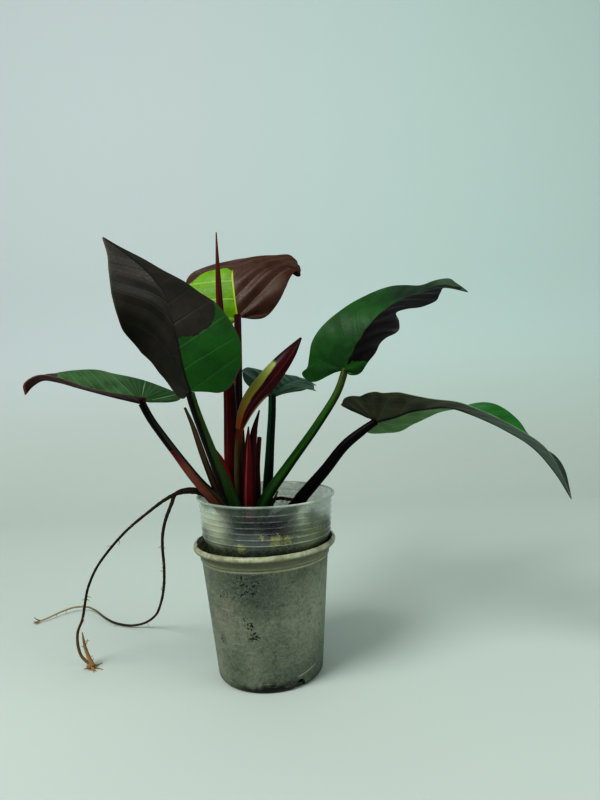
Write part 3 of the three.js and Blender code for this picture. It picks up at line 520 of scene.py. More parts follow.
ROOTS = dict(
    aerial_root_short=dict(
        path=[(-24, -4, 128), (-40, -6, 142), (-50, -9, 149.5), (-65, -14, 151), (-75, -17, 147),
              (-90, -19, 137), (-107, -17, 124), (-126, -11, 105), (-138, -5, 90), (-147, 0, 73),
              (-152, 4, 57), (-156, 8, 45), (-162, 12, 33), (-164, 16, 19), (-162, 18, 9),
              (-154, 16, 2.4)],
        radii=[1.9, 1.6, 1.1, 1, 1, 1.1, 1.2]),
    aerial_root_long=dict(
        path=[(-24, 2, 126), (-40, 2, 141), (-50, 1, 149), (-60, -2, 151.5), (-69, -6, 149),
              (-73, -5, 141), (-80, 1, 127), (-85, 9, 113), (-88, 18, 99), (-91, 32, 80),
              (-96, 48, 57), (-105, 68, 33), (-115, 84, 16), (-129, 94, 5.4), (-143, 98, 2.3),
              (-160, 106, 2.3), (-174, 118, 3.2), (-192, 138, 5), (-204, 148, 5), (-218, 148, 5),
              (-228, 140, 4), (-237, 129, 2.6), (-245, 121, 1.8)],
        radii=[1.9, 1.5, 1.2, 1.2, 1.1, 1, .9, .8]),
    side_root=dict(
        path=[(-6, 4, 128), (8, 10, 137), (14, 10, 138), (21, 9, 137), (30, 9, 136)],
        radii=[2.2, 1.6, 1.4, 1]),
    root_twig=dict(
        path=[(2, -2, 126), (7, -4, 134), (10, -5, 140), (13, -6, 147)], radii=[1.4, 1.2, .8]),
)

# A strand that splits off the short root's frayed end.
SPLIT_STRAND = dict(
    path=[(-152, 15, 2.6), (-156, 17, 9), (-159, 18, 18), (-161, 19, 30)],
    radii=[1.7, 1.6, 1.2, .5],
)


def leaf_grid(leaf):
    """A leaf's middle surface, with each point's place along and across it, row and column."""
    samples = 240
    midrib, length = spline(leaf["midrib"], samples)
    forward = unit(np.gradient(midrib, axis=0))
    t = np.linspace(0, 1, samples + 1)
    side = np.stack([stations([s[k] for s in leaf["side"]], t) for k in range(3)], -1)
    side = unit(side - np.sum(side * forward, axis=1, keepdims=True) * forward)
    up = np.cross(side, forward)
    width = leaf["width"]
    s = np.linspace(0, 1, ROWS + 1)
    columns = np.linspace(0, 1, COLUMNS + 1) ** 1.25
    shape = (ROWS + 1, 2 * COLUMNS + 1)
    grid = np.zeros((*shape, 3))
    along_mm, across_mm, column = np.zeros(shape), np.zeros(shape), np.zeros(shape)

    def at(values, x):
        return np.stack([np.interp(x, t, values[:, k]) for k in range(3)], -1)

    for sign, key in ((-1, "left"), (1, "right")):
        part = leaf[key]
        margin, _ = spline([(a, b, 0) for a, b in part["outline"]], ROWS)
        lift = math.radians(part.get("lobe_lift", 0))
        back = forward[0] * math.cos(lift) - up[0] * math.sin(lift)
        root_along = length * s ** 1.55 * 0.988
        edge_along = margin[:, 0] * length
        edge_out = margin[:, 1] * width
        for j, u in enumerate(columns):
            along = root_along + (edge_along - root_along) * u ** 1.35
            share = np.clip(along / length, 0, 1)
            across, rise, angle = section(leaf, part, share, edge_out, edge_out * u)
            here_side, here_up = unit(at(side, share)), unit(at(up, share))
            lifted = ruffle(part, s, u) + pleat(leaf, sign, s, u, along, edge_out * u, length)
            normal = here_up * np.cos(angle)[:, None] - here_side * (np.sin(angle) * sign)[:, None]
            point = at(midrib, share) + np.minimum(along, 0)[:, None] * back
            point = point + here_side * (sign * across)[:, None] + here_up * rise[:, None]
            k = COLUMNS + sign * j
            grid[:, k] = point + normal * lifted[:, None]
            along_mm[:, k], across_mm[:, k], column[:, k] = along, sign * edge_out * u, sign * u
    row = np.broadcast_to(s[:, None], shape)
    return grid, dict(along=along_mm, across=across_mm, row=row, column=column, length=length)


def section(leaf, part, share, edge_out, out):
    """A leaf's cross-section: it folds at the midrib, then curls, then rolls at the margin."""
    roll_share = leaf.get("roll_share", 0.2)
    flat_out = edge_out * (1 - roll_share)
    fold = np.radians(stations(part["fold"], share))
    curl = np.radians(stations(part.get("curl", [0]), share)) / leaf["width"]
    roll = np.radians(stations(part.get("roll", [0]), share)) / np.maximum(edge_out * roll_share, 0.5)
    across, rise, angle = arc_step(fold, curl, np.minimum(out, flat_out))
    more_across, more_rise, angle = arc_step(angle, roll, np.maximum(out - flat_out, 0))
    return across + more_across, rise + more_rise, angle


def vein_place(along, out, length, slope):
    """The share of the midrib at which the side vein through a point leaves it.

    Side veins sweep towards the tip. In the lobes behind the stalk they fan out from it.
    """
    ahead = along - slope * out
    fan = np.arctan2(out, along) - np.arctan2(1, slope)
    fan = np.minimum(-fan * .16, 0) * np.clip(out / 6, 0, 1)
    return np.where(ahead > 0, ahead / length, fan)


def pleat(leaf, sign, s, u, along, out, length):
    """The blade rises between its side veins."""
    left, right, count = leaf["pleat"]
    height = left if sign < 0 else right
    vein = vein_place(along, out, length, leaf["slope"][sign > 0])
    rise = 0.5 - 0.5 * np.cos(2 * np.pi * count * vein)
    return height * np.sin(np.pi * min(u, 1)) ** 0.7 * (1 - s ** 4) * rise


def ruffle(part, s, u):
    """The margin waves up and down."""
    if "wave" not in part:
        return np.zeros_like(s)
    height, count, start = part["wave"]
    envelope = stations([.3, 1, 1, .6, .2], s)
    return height * envelope * u ** 2.2 * np.sin(2 * np.pi * (count * s + start))


# Shaders.

def rgb(red, green, blue):
    """Linear colour from 0 to 255 screen values."""
    return tuple((c / 255 / 12.92) if c < 10 else ((c / 255 + 0.055) / 1.055) ** 2.4
                 for c in (red, green, blue))


def tone_of(color, factor):
    return tuple(min(1, c * factor) for c in color)


class Shader:
    """A material whose nodes are added and linked by short calls."""

    def __init__(self, name):
        self.material = bpy.data.materials.new(name)
        self.material.use_nodes = True
        self.tree = self.material.node_tree
        self.tree.nodes.clear()

    def add(self, kind, inputs=None, **settings):
        node = self.tree.nodes.new(kind)
        for key, value in settings.items():
            setattr(node, key, value)
        for key, value in (inputs or {}).items():
            self.feed(node.inputs[key], value)
        return node

    def feed(self, socket, value):
        if isinstance(value, bpy.types.NodeSocket):
            self.tree.links.new(value, socket)
        elif isinstance(value, tuple) and len(value) == 3 and socket.type == "RGBA":
            socket.default_value = (*value, 1)
        else:
            socket.default_value = value

    def attribute(self, name, output="Fac"):
        return self.add("ShaderNodeAttribute", attribute_name=name).outputs[output]

    def place(self):
        return self.add("ShaderNodeTexCoord").outputs["Object"]

    def split(self, vector):
        return self.add("ShaderNodeSeparateXYZ", {0: vector}).outputs

    def vector(self, operation, a, b, output=0):
        second = 3 if operation == "SCALE" else 1
        return self.add("ShaderNodeVectorMath", {0: a, second: b}, operation=operation).outputs[output]

    def scaled(self, vector, scale):
        return self.vector("MULTIPLY", vector, scale)

    def noise(self, vector, scale, detail=3.0, roughness=0.5, distortion=0.0):
        inputs = {"Vector": vector, "Scale": scale, "Detail": detail, "Roughness": roughness,
                  "Distortion": distortion}
        return self.add("ShaderNodeTexNoise", inputs).outputs[0]

    def cells(self, vector, scale):
        node = self.add("ShaderNodeTexVoronoi", {"Vector": vector, "Scale": scale})
        return node.outputs["Distance"]

    def maths(self, operation, a, b=0.0, clamp=False):
        return self.add("ShaderNodeMath", {0: a, 1: b}, operation=operation, use_clamp=clamp).outputs[0]

    def plus(self, a, b, clamp=False):
        return self.maths("ADD", a, b, clamp)

    def minus(self, a, b):
        return self.maths("SUBTRACT", a, b)

    def times(self, a, b, clamp=False):
        return self.maths("MULTIPLY", a, b, clamp)

    def fade(self, value, low, high, to_low=0.0, to_high=1.0):
        inputs = {"Value": value, "From Min": low, "From Max": high, "To Min": to_low,
                  "To Max": to_high}
        return self.add("ShaderNodeMapRange", inputs, interpolation_type="SMOOTHSTEP").outputs[0]

    def mix(self, share, a, b):
        node = self.add("ShaderNodeMix", data_type="RGBA")
        self.feed(node.inputs[0], share)
        self.feed(node.inputs[6], a)
        self.feed(node.inputs[7], b)
        return node.outputs[2]

    def bump(self, height, strength, distance, normal=None):
        inputs = {"Height": height, "Strength": strength, "Distance": distance}
        node = self.add("ShaderNodeBump", inputs)
        if normal is not None:
            self.feed(node.inputs["Normal"], normal)
        return node.outputs[0]

    def surface(self, **inputs):
        """Ends the material with one principled surface."""
        named = {key.replace("_", " "): value for key, value in inputs.items()}
        shader = self.add("ShaderNodeBsdfPrincipled", named)
        output = self.add("ShaderNodeOutputMaterial")
        self.tree.links.new(shader.outputs[0], output.inputs["Surface"])
        return self.material


def near_line(shader, value, count, half_width):
    """1 on evenly counted lines of a value from 0 to 1, fading to 0 beside them."""
    turns = shader.times(value, count)
    off = shader.maths("PINGPONG", turns, 0.5)
    return shader.fade(off, 0.0, half_width, 1.0, 0.0)


def leaf_material(name, base, patch=None, veins=None, mottle=None, vein_count=6, vein_share=0.5,
                  patch_vein=None, vein_width=0.05, roughness=0.42, jag=1.2, rib=None, margin=None,
                  under=False, tone=0.25, rib_width=0.9, specular=.3, far=(), minor_share=.22,
                  rib_end=2.0):
    """A leaf face: a base colour and an optional patch, side veins, fine veins and a midrib.

    A far stage is where a shade starts and is full, in shares of the leaf's length, and the shade.
    """
    sh = Shader(name)
    flat = sh.attribute("leaf_mm", "Vector")
    vein = sh.attribute("vein")
    broad = sh.noise(flat, 0.045, 4, 0.6)
    fine = sh.noise(flat, 0.5, 5, 0.65)
    mottle = mottle or tone_of(base, 0.55)
    color = sh.mix(sh.fade(broad, 0.42, 0.62), base, mottle)
    warp = sh.times(sh.minus(broad, 0.5), 0.02)
    vein = sh.plus(vein, warp)
    main = near_line(sh, vein, vein_count, vein_width)
    minor = near_line(sh, vein, vein_count * 5, 0.22)
    lines = sh.plus(main, sh.times(minor, minor_share), clamp=True)
    fades = sh.fade(sh.attribute("rim"), 0.75, 1.0, 1.0, 0.35)
    lines = sh.times(lines, fades)
    reach = sh.plus(sh.attribute("reach"), sh.times(warp, 6))
    for start, stop, shade in far:
        color = sh.mix(sh.fade(reach, start, stop), color, shade)
    strong = sh.times(lines, vein_share)
    color = sh.mix(strong, color, veins or tone_of(base, 1.8))
    if patch:
        edge = sh.times(sh.minus(sh.noise(flat, 0.55, 6, 0.7), 0.5), jag * 2)
        broad_edge = sh.times(sh.minus(sh.noise(flat, 0.16, 2), 0.5), jag * 2)
        field = sh.plus(sh.plus(sh.attribute("patch"), edge), broad_edge)
        inside = sh.fade(field, -0.25, 0.25)
        blotch = sh.mix(sh.fade(broad, 0.4, 0.65), patch, tone_of(patch, 0.72))
        blotch = sh.mix(strong, blotch, patch_vein or tone_of(patch, 1.7))
        color = sh.mix(inside, color, blotch)
    if rib:
        across = sh.maths("ABSOLUTE", sh.split(flat)[1])
        on_rib = sh.fade(across, rib_width * 0.6, rib_width, 1.0, 0.0)
        on_rib = sh.times(on_rib, sh.fade(sh.attribute("reach"), rib_end, rib_end + .05, 1, 0))
        color = sh.mix(on_rib, color, rib)
    if margin:
        color = sh.mix(sh.fade(sh.attribute("edge_mm"), 0.5, 1.1, 1.0, 0.0), color, margin)
    shade = sh.plus(sh.times(fine, tone), 1 - tone / 2)
    tinted = sh.vector("SCALE", color, shade)
    relief = sh.times(lines, 0.5 if under else -0.6)
    relief = sh.plus(relief, sh.times(fine, 0.35))
    normal = sh.bump(relief, 0.35, 0.0008)
    normal = sh.bump(sh.cells(flat, 1.6), 0.06, 0.0003, normal)
    gloss = sh.fade(fine, 0.3, 0.7, roughness - 0.05, roughness + 0.07)
    return sh.surface(Base_Color=tinted, Roughness=gloss, Normal=normal, Specular_IOR_Level=specular)


# Leaf faces. Each leaf has an upper, a lower and an edge material.

def leaf_faces():
    """Upper, lower and edge materials of each open leaf."""
    made = {}
    made["upper_left"] = (
        leaf_material("leaf_dark_green_patch", rgb(40, 34, 26), rgb(24, 78, 18), rgb(60, 54, 44),
                      rgb(30, 28, 22), 9, .12, rgb(84, 128, 70), jag=1.6, rib=rgb(16, 12, 10),
                      rib_width=1.0, roughness=.54, vein_width=.08, minor_share=.08,
                      margin=rgb(64, 56, 42), specular=.24),
        leaf_material("leaf_dark_under", rgb(74, 46, 42), rgb(96, 130, 84), rgb(104, 66, 58),
                      vein_share=.5, under=True, roughness=.5, jag=1.6, rib=rgb(60, 24, 26),
                      rib_width=1.6),
        leaf_material("leaf_dark_edge", rgb(96, 84, 58), vein_share=0),
    )
    made["back"] = (
        leaf_material("leaf_bronze_lime", rgb(72, 46, 34), rgb(106, 150, 2), rgb(100, 70, 56),
                      rgb(62, 26, 12), 9, .6, rgb(142, 184, 70), jag=.8, rib=rgb(158, 172, 46),
                      rib_width=1.0, roughness=.46, vein_width=.07, minor_share=.06, rib_end=.26),
        leaf_material("leaf_bronze_under", rgb(96, 44, 30), rgb(140, 170, 70), rgb(142, 84, 62),
                      vein_share=.5, under=True, roughness=.5, jag=.8, rib=rgb(90, 30, 26),
                      rib_width=1.8),
        leaf_material("leaf_bronze_edge", rgb(110, 66, 46), vein_share=0),
    )
    made["upper_right"] = (
        # The grey-green at the tip of its upper face is painted sheen, and the grey vein lines on its
        # dark half are veins drawn lighter as painted sheen.
        leaf_material("leaf_green_dark_half", rgb(36, 82, 32), rgb(20, 16, 18), rgb(56, 98, 52),
                      rgb(28, 68, 26), 9, .12, rgb(70, 66, 68), jag=1.4, rib=rgb(50, 76, 46),
                      rib_width=.6, roughness=.46, minor_share=.1, specular=.2, tone=.12,
                      far=((.45, .62, rgb(26, 44, 28)), (.72, .86, rgb(56, 78, 58)))),
        leaf_material("leaf_green_under", rgb(92, 122, 80), rgb(70, 44, 42), vein_count=9,
                      vein_share=.4, under=True, roughness=.5, jag=1.4, rib=rgb(80, 104, 62),
                      rib_width=1.6),
        leaf_material("leaf_green_edge", rgb(58, 66, 44), vein_share=0),
    )
    made["lower_right"] = (
        leaf_material("leaf_deep_green", rgb(48, 60, 50), rgb(24, 96, 22), rgb(80, 100, 78),
                      rgb(30, 44, 34), 9, .35, rgb(60, 130, 50), jag=1.2, rib=rgb(90, 106, 88),
                      rib_width=.6),
        # Its lower face turns grey-green after a third of its length: painted sheen. It is darker green
        # again at the tip.
        leaf_material("leaf_olive_under", rgb(70, 72, 50), rgb(92, 132, 76), rgb(96, 104, 76),
                      rgb(48, 46, 34), 9, .35, rgb(130, 164, 112), under=True, roughness=.48,
                      jag=.8, rib=rgb(22, 16, 18), rib_width=1.8,
                      far=((.3, .62, rgb(84, 104, 90)), (.84, .97, rgb(64, 86, 72)))),
        leaf_material("leaf_olive_edge", rgb(140, 152, 122), vein_share=0),
    )
    made["lower_left"] = (
        leaf_material("leaf_veined_green", rgb(66, 102, 56), rgb(62, 38, 36), rgb(144, 172, 134),
                      rgb(40, 72, 34), 8, .55, rgb(90, 74, 60), jag=2.2, rib=rgb(110, 136, 98),
                      rib_width=.6, vein_width=.04, far=((.2, -.02, rgb(34, 70, 26)),)),
        leaf_material("leaf_maroon_under", rgb(64, 28, 28), rgb(70, 34, 32), rgb(92, 52, 48),
                      under=True, roughness=.56, rib=rgb(60, 24, 26), rib_width=1.5,
                      margin=rgb(122, 74, 68), specular=.12),
        leaf_material("leaf_maroon_edge", rgb(120, 84, 72), vein_share=0),
    )
    made["low_back"] = (
        leaf_material("leaf_blue_green", rgb(22, 60, 38), rgb(44, 82, 56), rgb(62, 98, 72),
                      rgb(10, 36, 20), 8, .4, rgb(84, 116, 88), jag=2.4, rib=rgb(70, 98, 74),
                      rib_width=.8),
        leaf_material("leaf_blue_under", rgb(84, 104, 80), rgb(96, 112, 88), under=True,
                      roughness=.5, rib=rgb(60, 70, 44), rib_width=1.5),
        leaf_material("leaf_blue_edge", rgb(80, 100, 76), vein_share=0),
    )
    return made


def blade_fields(leaf, info):
    """Attributes for a blade's plate, the same on both faces."""
    length, width = info["length"], leaf["width"]
    along, across = info["along"].ravel(), info["across"].ravel()
    corners = [(a * length, b * width) for a, b in leaf["patch"]]
    patch = inside_distance(np.stack([along, across], -1), corners)
    rim = np.abs(info["column"]).ravel()
    shape = info["across"].shape
    edge = np.empty(shape)
    middle = COLUMNS
    edge[:, :middle + 1] = info["across"][:, :middle + 1] - info["across"][:, :1]
    edge[:, middle:] = info["across"][:, -1:] - info["across"][:, middle:]
    slope = np.where(across < 0, *leaf["slope"])
    vein = vein_place(along, np.abs(across), length, slope)
    fields = dict(
        leaf_mm=np.stack([along, across, np.zeros_like(along)], -1), reach=along / length,
        vein=vein, rim=rim, patch=patch, edge_mm=edge.ravel(),
    )
    return {key: np.concatenate([v, v]) for key, v in fields.items()}


def add_blades():
    faces_of = leaf_faces()
    slots = dict(upper_left="dark_leaf", back="bronze_leaf", upper_right="green_leaf",
                 lower_right="leaf_underside", lower_left="green_leaf", low_back="dark_leaf")
    for name, leaf in LEAVES.items():
        grid, info = leaf_grid(leaf)
        out = np.abs(info["column"])
        thickness = BLADE_THICKNESS * (1 - 0.45 * out ** 8)
        rib = RIB_HEIGHT * np.exp(-(info["across"] / RIB_SPREAD) ** 2) * (1 - info["row"])
        points, quads, kinds = plate(grid, thickness, rib)
        fields = blade_fields(leaf, info)
        piece = new_mesh("leaf_" + name, points, quads, fields, faces_of[name], kinds)
        place(piece, slots[name], "blade_" + name)


# Stalks, sheaths and roots.

def rod_material(name, base, other, turn=0, level=0.0, soft=0.25, streak=0.3, root=None, tip=None,
                 roughness=0.42, fleck=None, bump=0.25, twist=0.0, specular=.16, line=None):
    """A rod with a second colour on the side that faces a turn in degrees, and long streaks.

    The split moves by the twist from the rod's foot to its tip. A line is one pale long streak on the
    rod's front; on the spear and the crimson sheath it is a painted highlight.
    """
    sh = Shader(name)
    ring = sh.attribute("ring", "Vector")
    share = sh.attribute("share")
    x, y, _ = sh.split(ring)
    streaks = sh.noise(sh.scaled(ring, (2.2, 2.2, 0.35)), 1.4, 5, 0.65)
    patches = sh.noise(sh.scaled(ring, (1.0, 1.0, 0.6)), 1.1, 3, 0.6)
    angle = math.radians(turn)
    toward = sh.times(x, math.cos(angle))
    toward = sh.plus(toward, sh.times(y, math.sin(angle)))
    toward = sh.plus(toward, sh.times(sh.minus(patches, 0.5), 0.7))
    toward = sh.plus(toward, sh.times(share, twist))
    color = sh.mix(sh.fade(toward, level - soft, level + soft), base, other)
    # A pale streak on the rod's front only; on the spear and the crimson sheath it is a painted
    # highlight.
    if line:
        at, half, shade = line
        wander = sh.times(sh.minus(patches, .5), .2)
        off = sh.maths("ABSOLUTE", sh.minus(sh.plus(x, wander), at))
        front = sh.fade(y, -.1, .1, 1, 0)
        on_line = sh.times(sh.fade(off, half * .4, half, 1, 0), front)
        color = sh.mix(sh.times(on_line, .8), color, shade)
    if root:
        color = sh.mix(sh.fade(share, 0.0, 0.35, 1.0, 0.0), color, root)
    if tip:
        color = sh.mix(sh.fade(share, 0.7, 1.0), color, tip)
    if fleck:
        flecks = sh.noise(sh.scaled(ring, (6.0, 6.0, 3.0)), 1.6, 2)
        color = sh.mix(sh.fade(flecks, 0.62, 0.7), color, fleck)
    shade = sh.fade(streaks, 0.25, 0.75, 1 - streak, 1 + streak)
    tinted = sh.vector("SCALE", color, shade)
    normal = sh.bump(streaks, bump, 0.0006)
    gloss = sh.fade(patches, 0.3, 0.7, roughness - 0.08, roughness + 0.08)
    return sh.surface(Base_Color=tinted, Roughness=gloss, Normal=normal, Specular_IOR_Level=specular)


def stalk_materials():
    return dict(
        upper_left=rod_material("stalk_black_and_green", rgb(52, 74, 34), rgb(18, 14, 12), 0, .5,
                                .14, root=rgb(20, 66, 34), twist=.95),
        back=rod_material("stalk_maroon_and_olive", rgb(30, 12, 14), rgb(92, 78, 40), 0, .55, .1,
                          root=rgb(56, 30, 20), tip=rgb(54, 14, 16)),
        upper_right=rod_material("stalk_green", rgb(50, 96, 28), rgb(14, 32, 14), 180, .35, .3,
                                 root=rgb(24, 70, 28), tip=rgb(72, 78, 36)),
        lower_right=rod_material("stalk_black", rgb(16, 10, 14), rgb(22, 16, 22), 90, .2, .3,
                                 streak=.35, fleck=rgb(30, 14, 20), tip=rgb(20, 10, 12),
                                 specular=.1),
        lower_left=rod_material("stalk_maroon_black", rgb(24, 16, 16), rgb(78, 84, 50), 90, .5, .2,
                                root=rgb(92, 60, 50), tip=rgb(22, 16, 16),
                                line=(-.5, .42, rgb(58, 66, 44))),
        low_back=rod_material("stalk_deep_green", rgb(14, 12, 10), rgb(24, 72, 38), 0, .05, .15),
        young=rod_material("stalk_olive_red", rgb(62, 54, 26), rgb(84, 74, 42), 0, .2, .3,
                           root=rgb(56, 12, 18), tip=rgb(112, 40, 16), streak=.45),
    )


def sheath_materials():
    return dict(
        # Its pale line is a painted highlight.
        sheath_red_tip=rod_material("sheath_crimson", rgb(96, 14, 22), rgb(60, 8, 16), 0, .5, .2,
                                    root=rgb(66, 10, 28), tip=rgb(92, 28, 26), streak=.4,
                                    line=(.1, .22, rgb(148, 70, 72))),
        sheath_dark_red=rod_material("sheath_dark_red", rgb(66, 14, 18), rgb(38, 10, 12), 0, .2,
                                     .2, tip=rgb(44, 12, 14), root=rgb(60, 10, 20)),
        cut_stub=rod_material("stub_olive_brown", rgb(56, 20, 20), rgb(96, 44, 38), 0, .4, .2,
                              tip=rgb(82, 26, 22), root=rgb(126, 88, 68)),
        sheath_small_red=rod_material("sheath_bright_red", rgb(110, 10, 10), rgb(84, 8, 10), 0, 0,
                                      tip=rgb(96, 14, 10)),
        olive_stub=rod_material("stub_pinkish_brown", rgb(82, 62, 46), rgb(56, 52, 36), 0, .2,
                                tip=rgb(70, 56, 42), root=rgb(84, 48, 40)),
        sheath_pink=rod_material("sheath_pinkish_brown", rgb(112, 68, 54), rgb(70, 30, 30), 90, 0,
                                 tip=rgb(88, 16, 32), root=rgb(112, 66, 56), streak=.4),
    )


def add_rod(name, slot, node, spec, material, **settings):
    """A rod from a path, its radii and its other shape, in place of a CAD node."""
    points, faces, fields = tube(**spec, **settings)
    place(new_mesh(name, points, faces, fields, [material]), slot, node)


def add_rods():
    slots = dict(upper_right="green_stalk", young="red_sheath")
    materials = stalk_materials()
    for name, stalk in STALKS.items():
        node = "stalk_" + name
        add_rod(node, slots.get(name, "dark_stalk"), node, stalk, materials[name], **STALK_ROD)
    slots = dict(cut_stub="olive_stub", olive_stub="olive_stub", sheath_pink="pink_sheath")
    materials = sheath_materials()
    for name, sheath in SHEATHS.items():
        slot = slots.get(name, "red_sheath")
        add_rod(name + "_skin", slot, name, sheath, materials[name], **SHEATH_ROD)
    # The spear's pale line is a painted highlight.
    skin = rod_material("spear_red", rgb(72, 9, 13), rgb(34, 6, 9), 180, .5, .25,
                        root=rgb(112, 16, 34), tip=rgb(92, 44, 26), streak=.45,
                        line=(.45, .16, rgb(118, 40, 42)))
    add_rod("spear", "red_sheath", "spear_leaf", SPEAR, skin, **SPEAR_ROD)
    bark = rod_material("stem_bark", rgb(64, 40, 30), rgb(48, 52, 34), -90, .2, .4,
                        roughness=.6, bump=.6)
    add_rod("stem_crown", "dark_stalk", "stem", STEM, bark, **STEM_ROD)


def rootlets(path, count, span, length, radius, seed):
    """Fine hairs that leave a root between two shares of its length."""
    random = np.random.default_rng(seed)
    centre, _ = spline(path, 200)
    forward = unit(np.gradient(centre, axis=0))
    parts = []
    for _ in range(count):
        k = int(200 * random.uniform(*span))
        away = unit(np.cross(forward[k], random.standard_normal(3)))
        reach = length * random.uniform(.4, 1)
        drift = forward[k] * random.uniform(-.3, .8) + away
        middle = centre[k] + drift * reach * .5 + random.standard_normal(3) * reach * .08
        end = middle + (drift + random.standard_normal(3) * .35) * reach * .5
        lift = max(0, .5 - min(middle[2], end[2]))
        middle, end = middle + (0, 0, lift), end + (0, 0, lift)
        thin = radius * random.uniform(.7, 1.1)
        parts.append(tube([centre[k], middle, end], [thin, thin * .8, thin * .35], **HAIR_ROD))
    return parts


def tuft(path, count, length, seed, spread=.75):
    """The frayed end of a broken root."""
    random = np.random.default_rng(seed)
    end = np.array(path[-1], float)
    forward = unit(end - np.array(path[-2], float))
    parts = []
    for _ in range(count):
        away = unit(forward * .7 + random.standard_normal(3) * (spread, spread, spread / 2))
        reach = length * random.uniform(.35, 1)
        middle = end + away * reach * .5
        tip = middle + unit(away + random.standard_normal(3) * .7) * reach * .5
        middle[2], tip[2] = max(middle[2], .7), max(tip[2], .5)
        parts.append(tube([end - forward * 3, middle, tip], [.7, .5, .25], **HAIR_ROD))
    return parts


def add_roots():
    dark = rod_material("root_dark", rgb(34, 22, 18), rgb(52, 38, 28), -90, .5, .5, streak=.35,
                        roughness=.62, fleck=rgb(76, 58, 42), tip=rgb(124, 98, 70), bump=.7)
    pale = rod_material("root_pale", rgb(44, 32, 24), rgb(64, 50, 36), -90, .5, .5, streak=.35,
                        roughness=.62, fleck=rgb(110, 92, 66), tip=rgb(176, 158, 126), bump=.7)
    fibre = rod_material("root_fibre", rgb(150, 120, 84), rgb(176, 148, 110), 90, .2, .4,
                         roughness=.7)
    for number, (name, root) in enumerate(ROOTS.items()):
        steps = ROOT_STEPS if name.startswith("aerial") else SHORT_ROOT_STEPS
        material = pale if name == "aerial_root_long" else dark
        add_rod(name + "_bark", "root_bark", name, root, material, steps=steps,
                seed=FIRST_ROOT_SEED + number, **ROOT_ROD)
    short, long = ROOTS["aerial_root_short"]["path"], ROOTS["aerial_root_long"]["path"]
    side = ROOTS["side_root"]["path"]
    hairs = tuft(short, count=22, length=13, seed=41, spread=.5)
    hairs += tuft(long, count=5, length=7, seed=42)
    hairs += rootlets(short, count=9, span=(.3, .97), length=5, radius=.35, seed=43)
    hairs += rootlets(long, count=14, span=(.2, .97), length=5, radius=.35, seed=44)
    hairs += rootlets(side, count=3, span=(.4, .9), length=9, radius=.6, seed=45)
    hairs.append(tube(**SPLIT_STRAND, sides=8, steps=24))
    hairs += rootlets(SPLIT_STRAND["path"], count=10, span=(.1, .8), length=7, radius=.4, seed=46)
    points, faces, fields = joined(hairs)
    points[:, 2] = np.maximum(points[:, 2], .05)
    place(new_mesh("root_fibres", points, faces, fields, [fibre]), "root_bark")


# Rolled young leaf.

def young_material(name, outside):
    """Lime on the left of the roll, burgundy on the right, and dark at the tip and the margin."""
    sh = Shader(name)
    x, y, along = sh.split(sh.attribute("ring", "Vector"))
    share = sh.attribute("share")
    turn = sh.attribute("turn")
    streaks = sh.noise(sh.scaled(sh.attribute("ring", "Vector"), (2.0, 2.0, .5)), 1.5, 5, .6)
    off = sh.times(sh.minus(streaks, .5), .5)
    lime = sh.mix(sh.fade(share, .08, .35), rgb(150, 84, 26), rgb(150, 140, 64))
    lime = sh.mix(sh.fade(share, .35, .6), lime, rgb(152, 158, 84))
    lime = sh.mix(sh.fade(share, .66, .7), lime, rgb(40, 8, 12))
    burgundy = sh.mix(sh.fade(streaks, .35, .7), rgb(50, 4, 14), rgb(74, 8, 20))
    burgundy = sh.mix(sh.fade(share, .0, .14, 1, 0), burgundy, rgb(110, 44, 20))
    burgundy = sh.mix(sh.fade(share, .8, 1), burgundy, rgb(26, 10, 10))
    left = sh.plus(sh.minus(x, sh.times(share, .75)), off)
    color = sh.mix(sh.fade(left, -.3, -.1), burgundy, lime)
    # Painted highlight: a pink shine along the roll.
    shine = sh.minus(1.0, sh.maths("ABSOLUTE", sh.plus(x, .35)))
    color = sh.mix(sh.fade(shine, .92, 1.0, 0, .4), color, rgb(140, 56, 66))
    pale = sh.times(sh.fade(x, -.9, -.72, 1, 0), sh.fade(share, .34, .46, 1, 0))
    color = sh.mix(sh.times(pale, .75), color, rgb(182, 150, 132))
    if not outside:
        color = rgb(150, 150, 92)
        color = sh.mix(sh.fade(share, .3, .8), color, rgb(70, 26, 26))
    color = sh.mix(sh.fade(turn, .86, .95), color, rgb(46, 18, 20))
    normal = sh.bump(streaks, .3, .0006)
    return sh.surface(Base_Color=color, Roughness=.4, Normal=normal, Specular_IOR_Level=.2)


def add_young_leaf():
    spec = YOUNG_LEAF
    centre, length, _, side, up = path_frame(spec["axis"], YOUNG_ROWS)
    t = np.linspace(0, 1, YOUNG_ROWS + 1)
    j = np.linspace(0, 1, YOUNG_COLUMNS + 1)
    turn = j[None, :] * stations(spec["turns"], t)[:, None]
    angle = math.radians(spec["open_edge"]) + turn * 2 * np.pi
    radius = stations(spec["radius"], t)[:, None] * (1 - spec["tighten"] * turn)
    grid = centre[:, None] + side[:, None] * (radius * np.cos(angle))[..., None]
    grid = grid + up[:, None] * (radius * np.sin(angle))[..., None]
    points, quads, kinds = plate(grid, YOUNG_THICKNESS)
    place_along = np.broadcast_to(t[:, None] * length / 10, angle.shape)
    ring = np.stack([np.cos(angle), np.sin(angle), place_along], -1).reshape(-1, 3)
    share = np.broadcast_to(t[:, None], angle.shape).ravel()
    turn_share = np.broadcast_to(j[None, :], angle.shape).ravel()
    fields = dict(ring=np.vstack([ring, ring]), share=np.r_[share, share],
                  turn=np.r_[turn_share, turn_share])
    skins = [young_material("young_leaf_inside", False), young_material("young_leaf_outside", True)]
    piece = new_mesh("leaf_young", points, quads, fields, [*skins, skins[1]], kinds)
    place(piece, "lime_leaf", "blade_young")


# Pots.

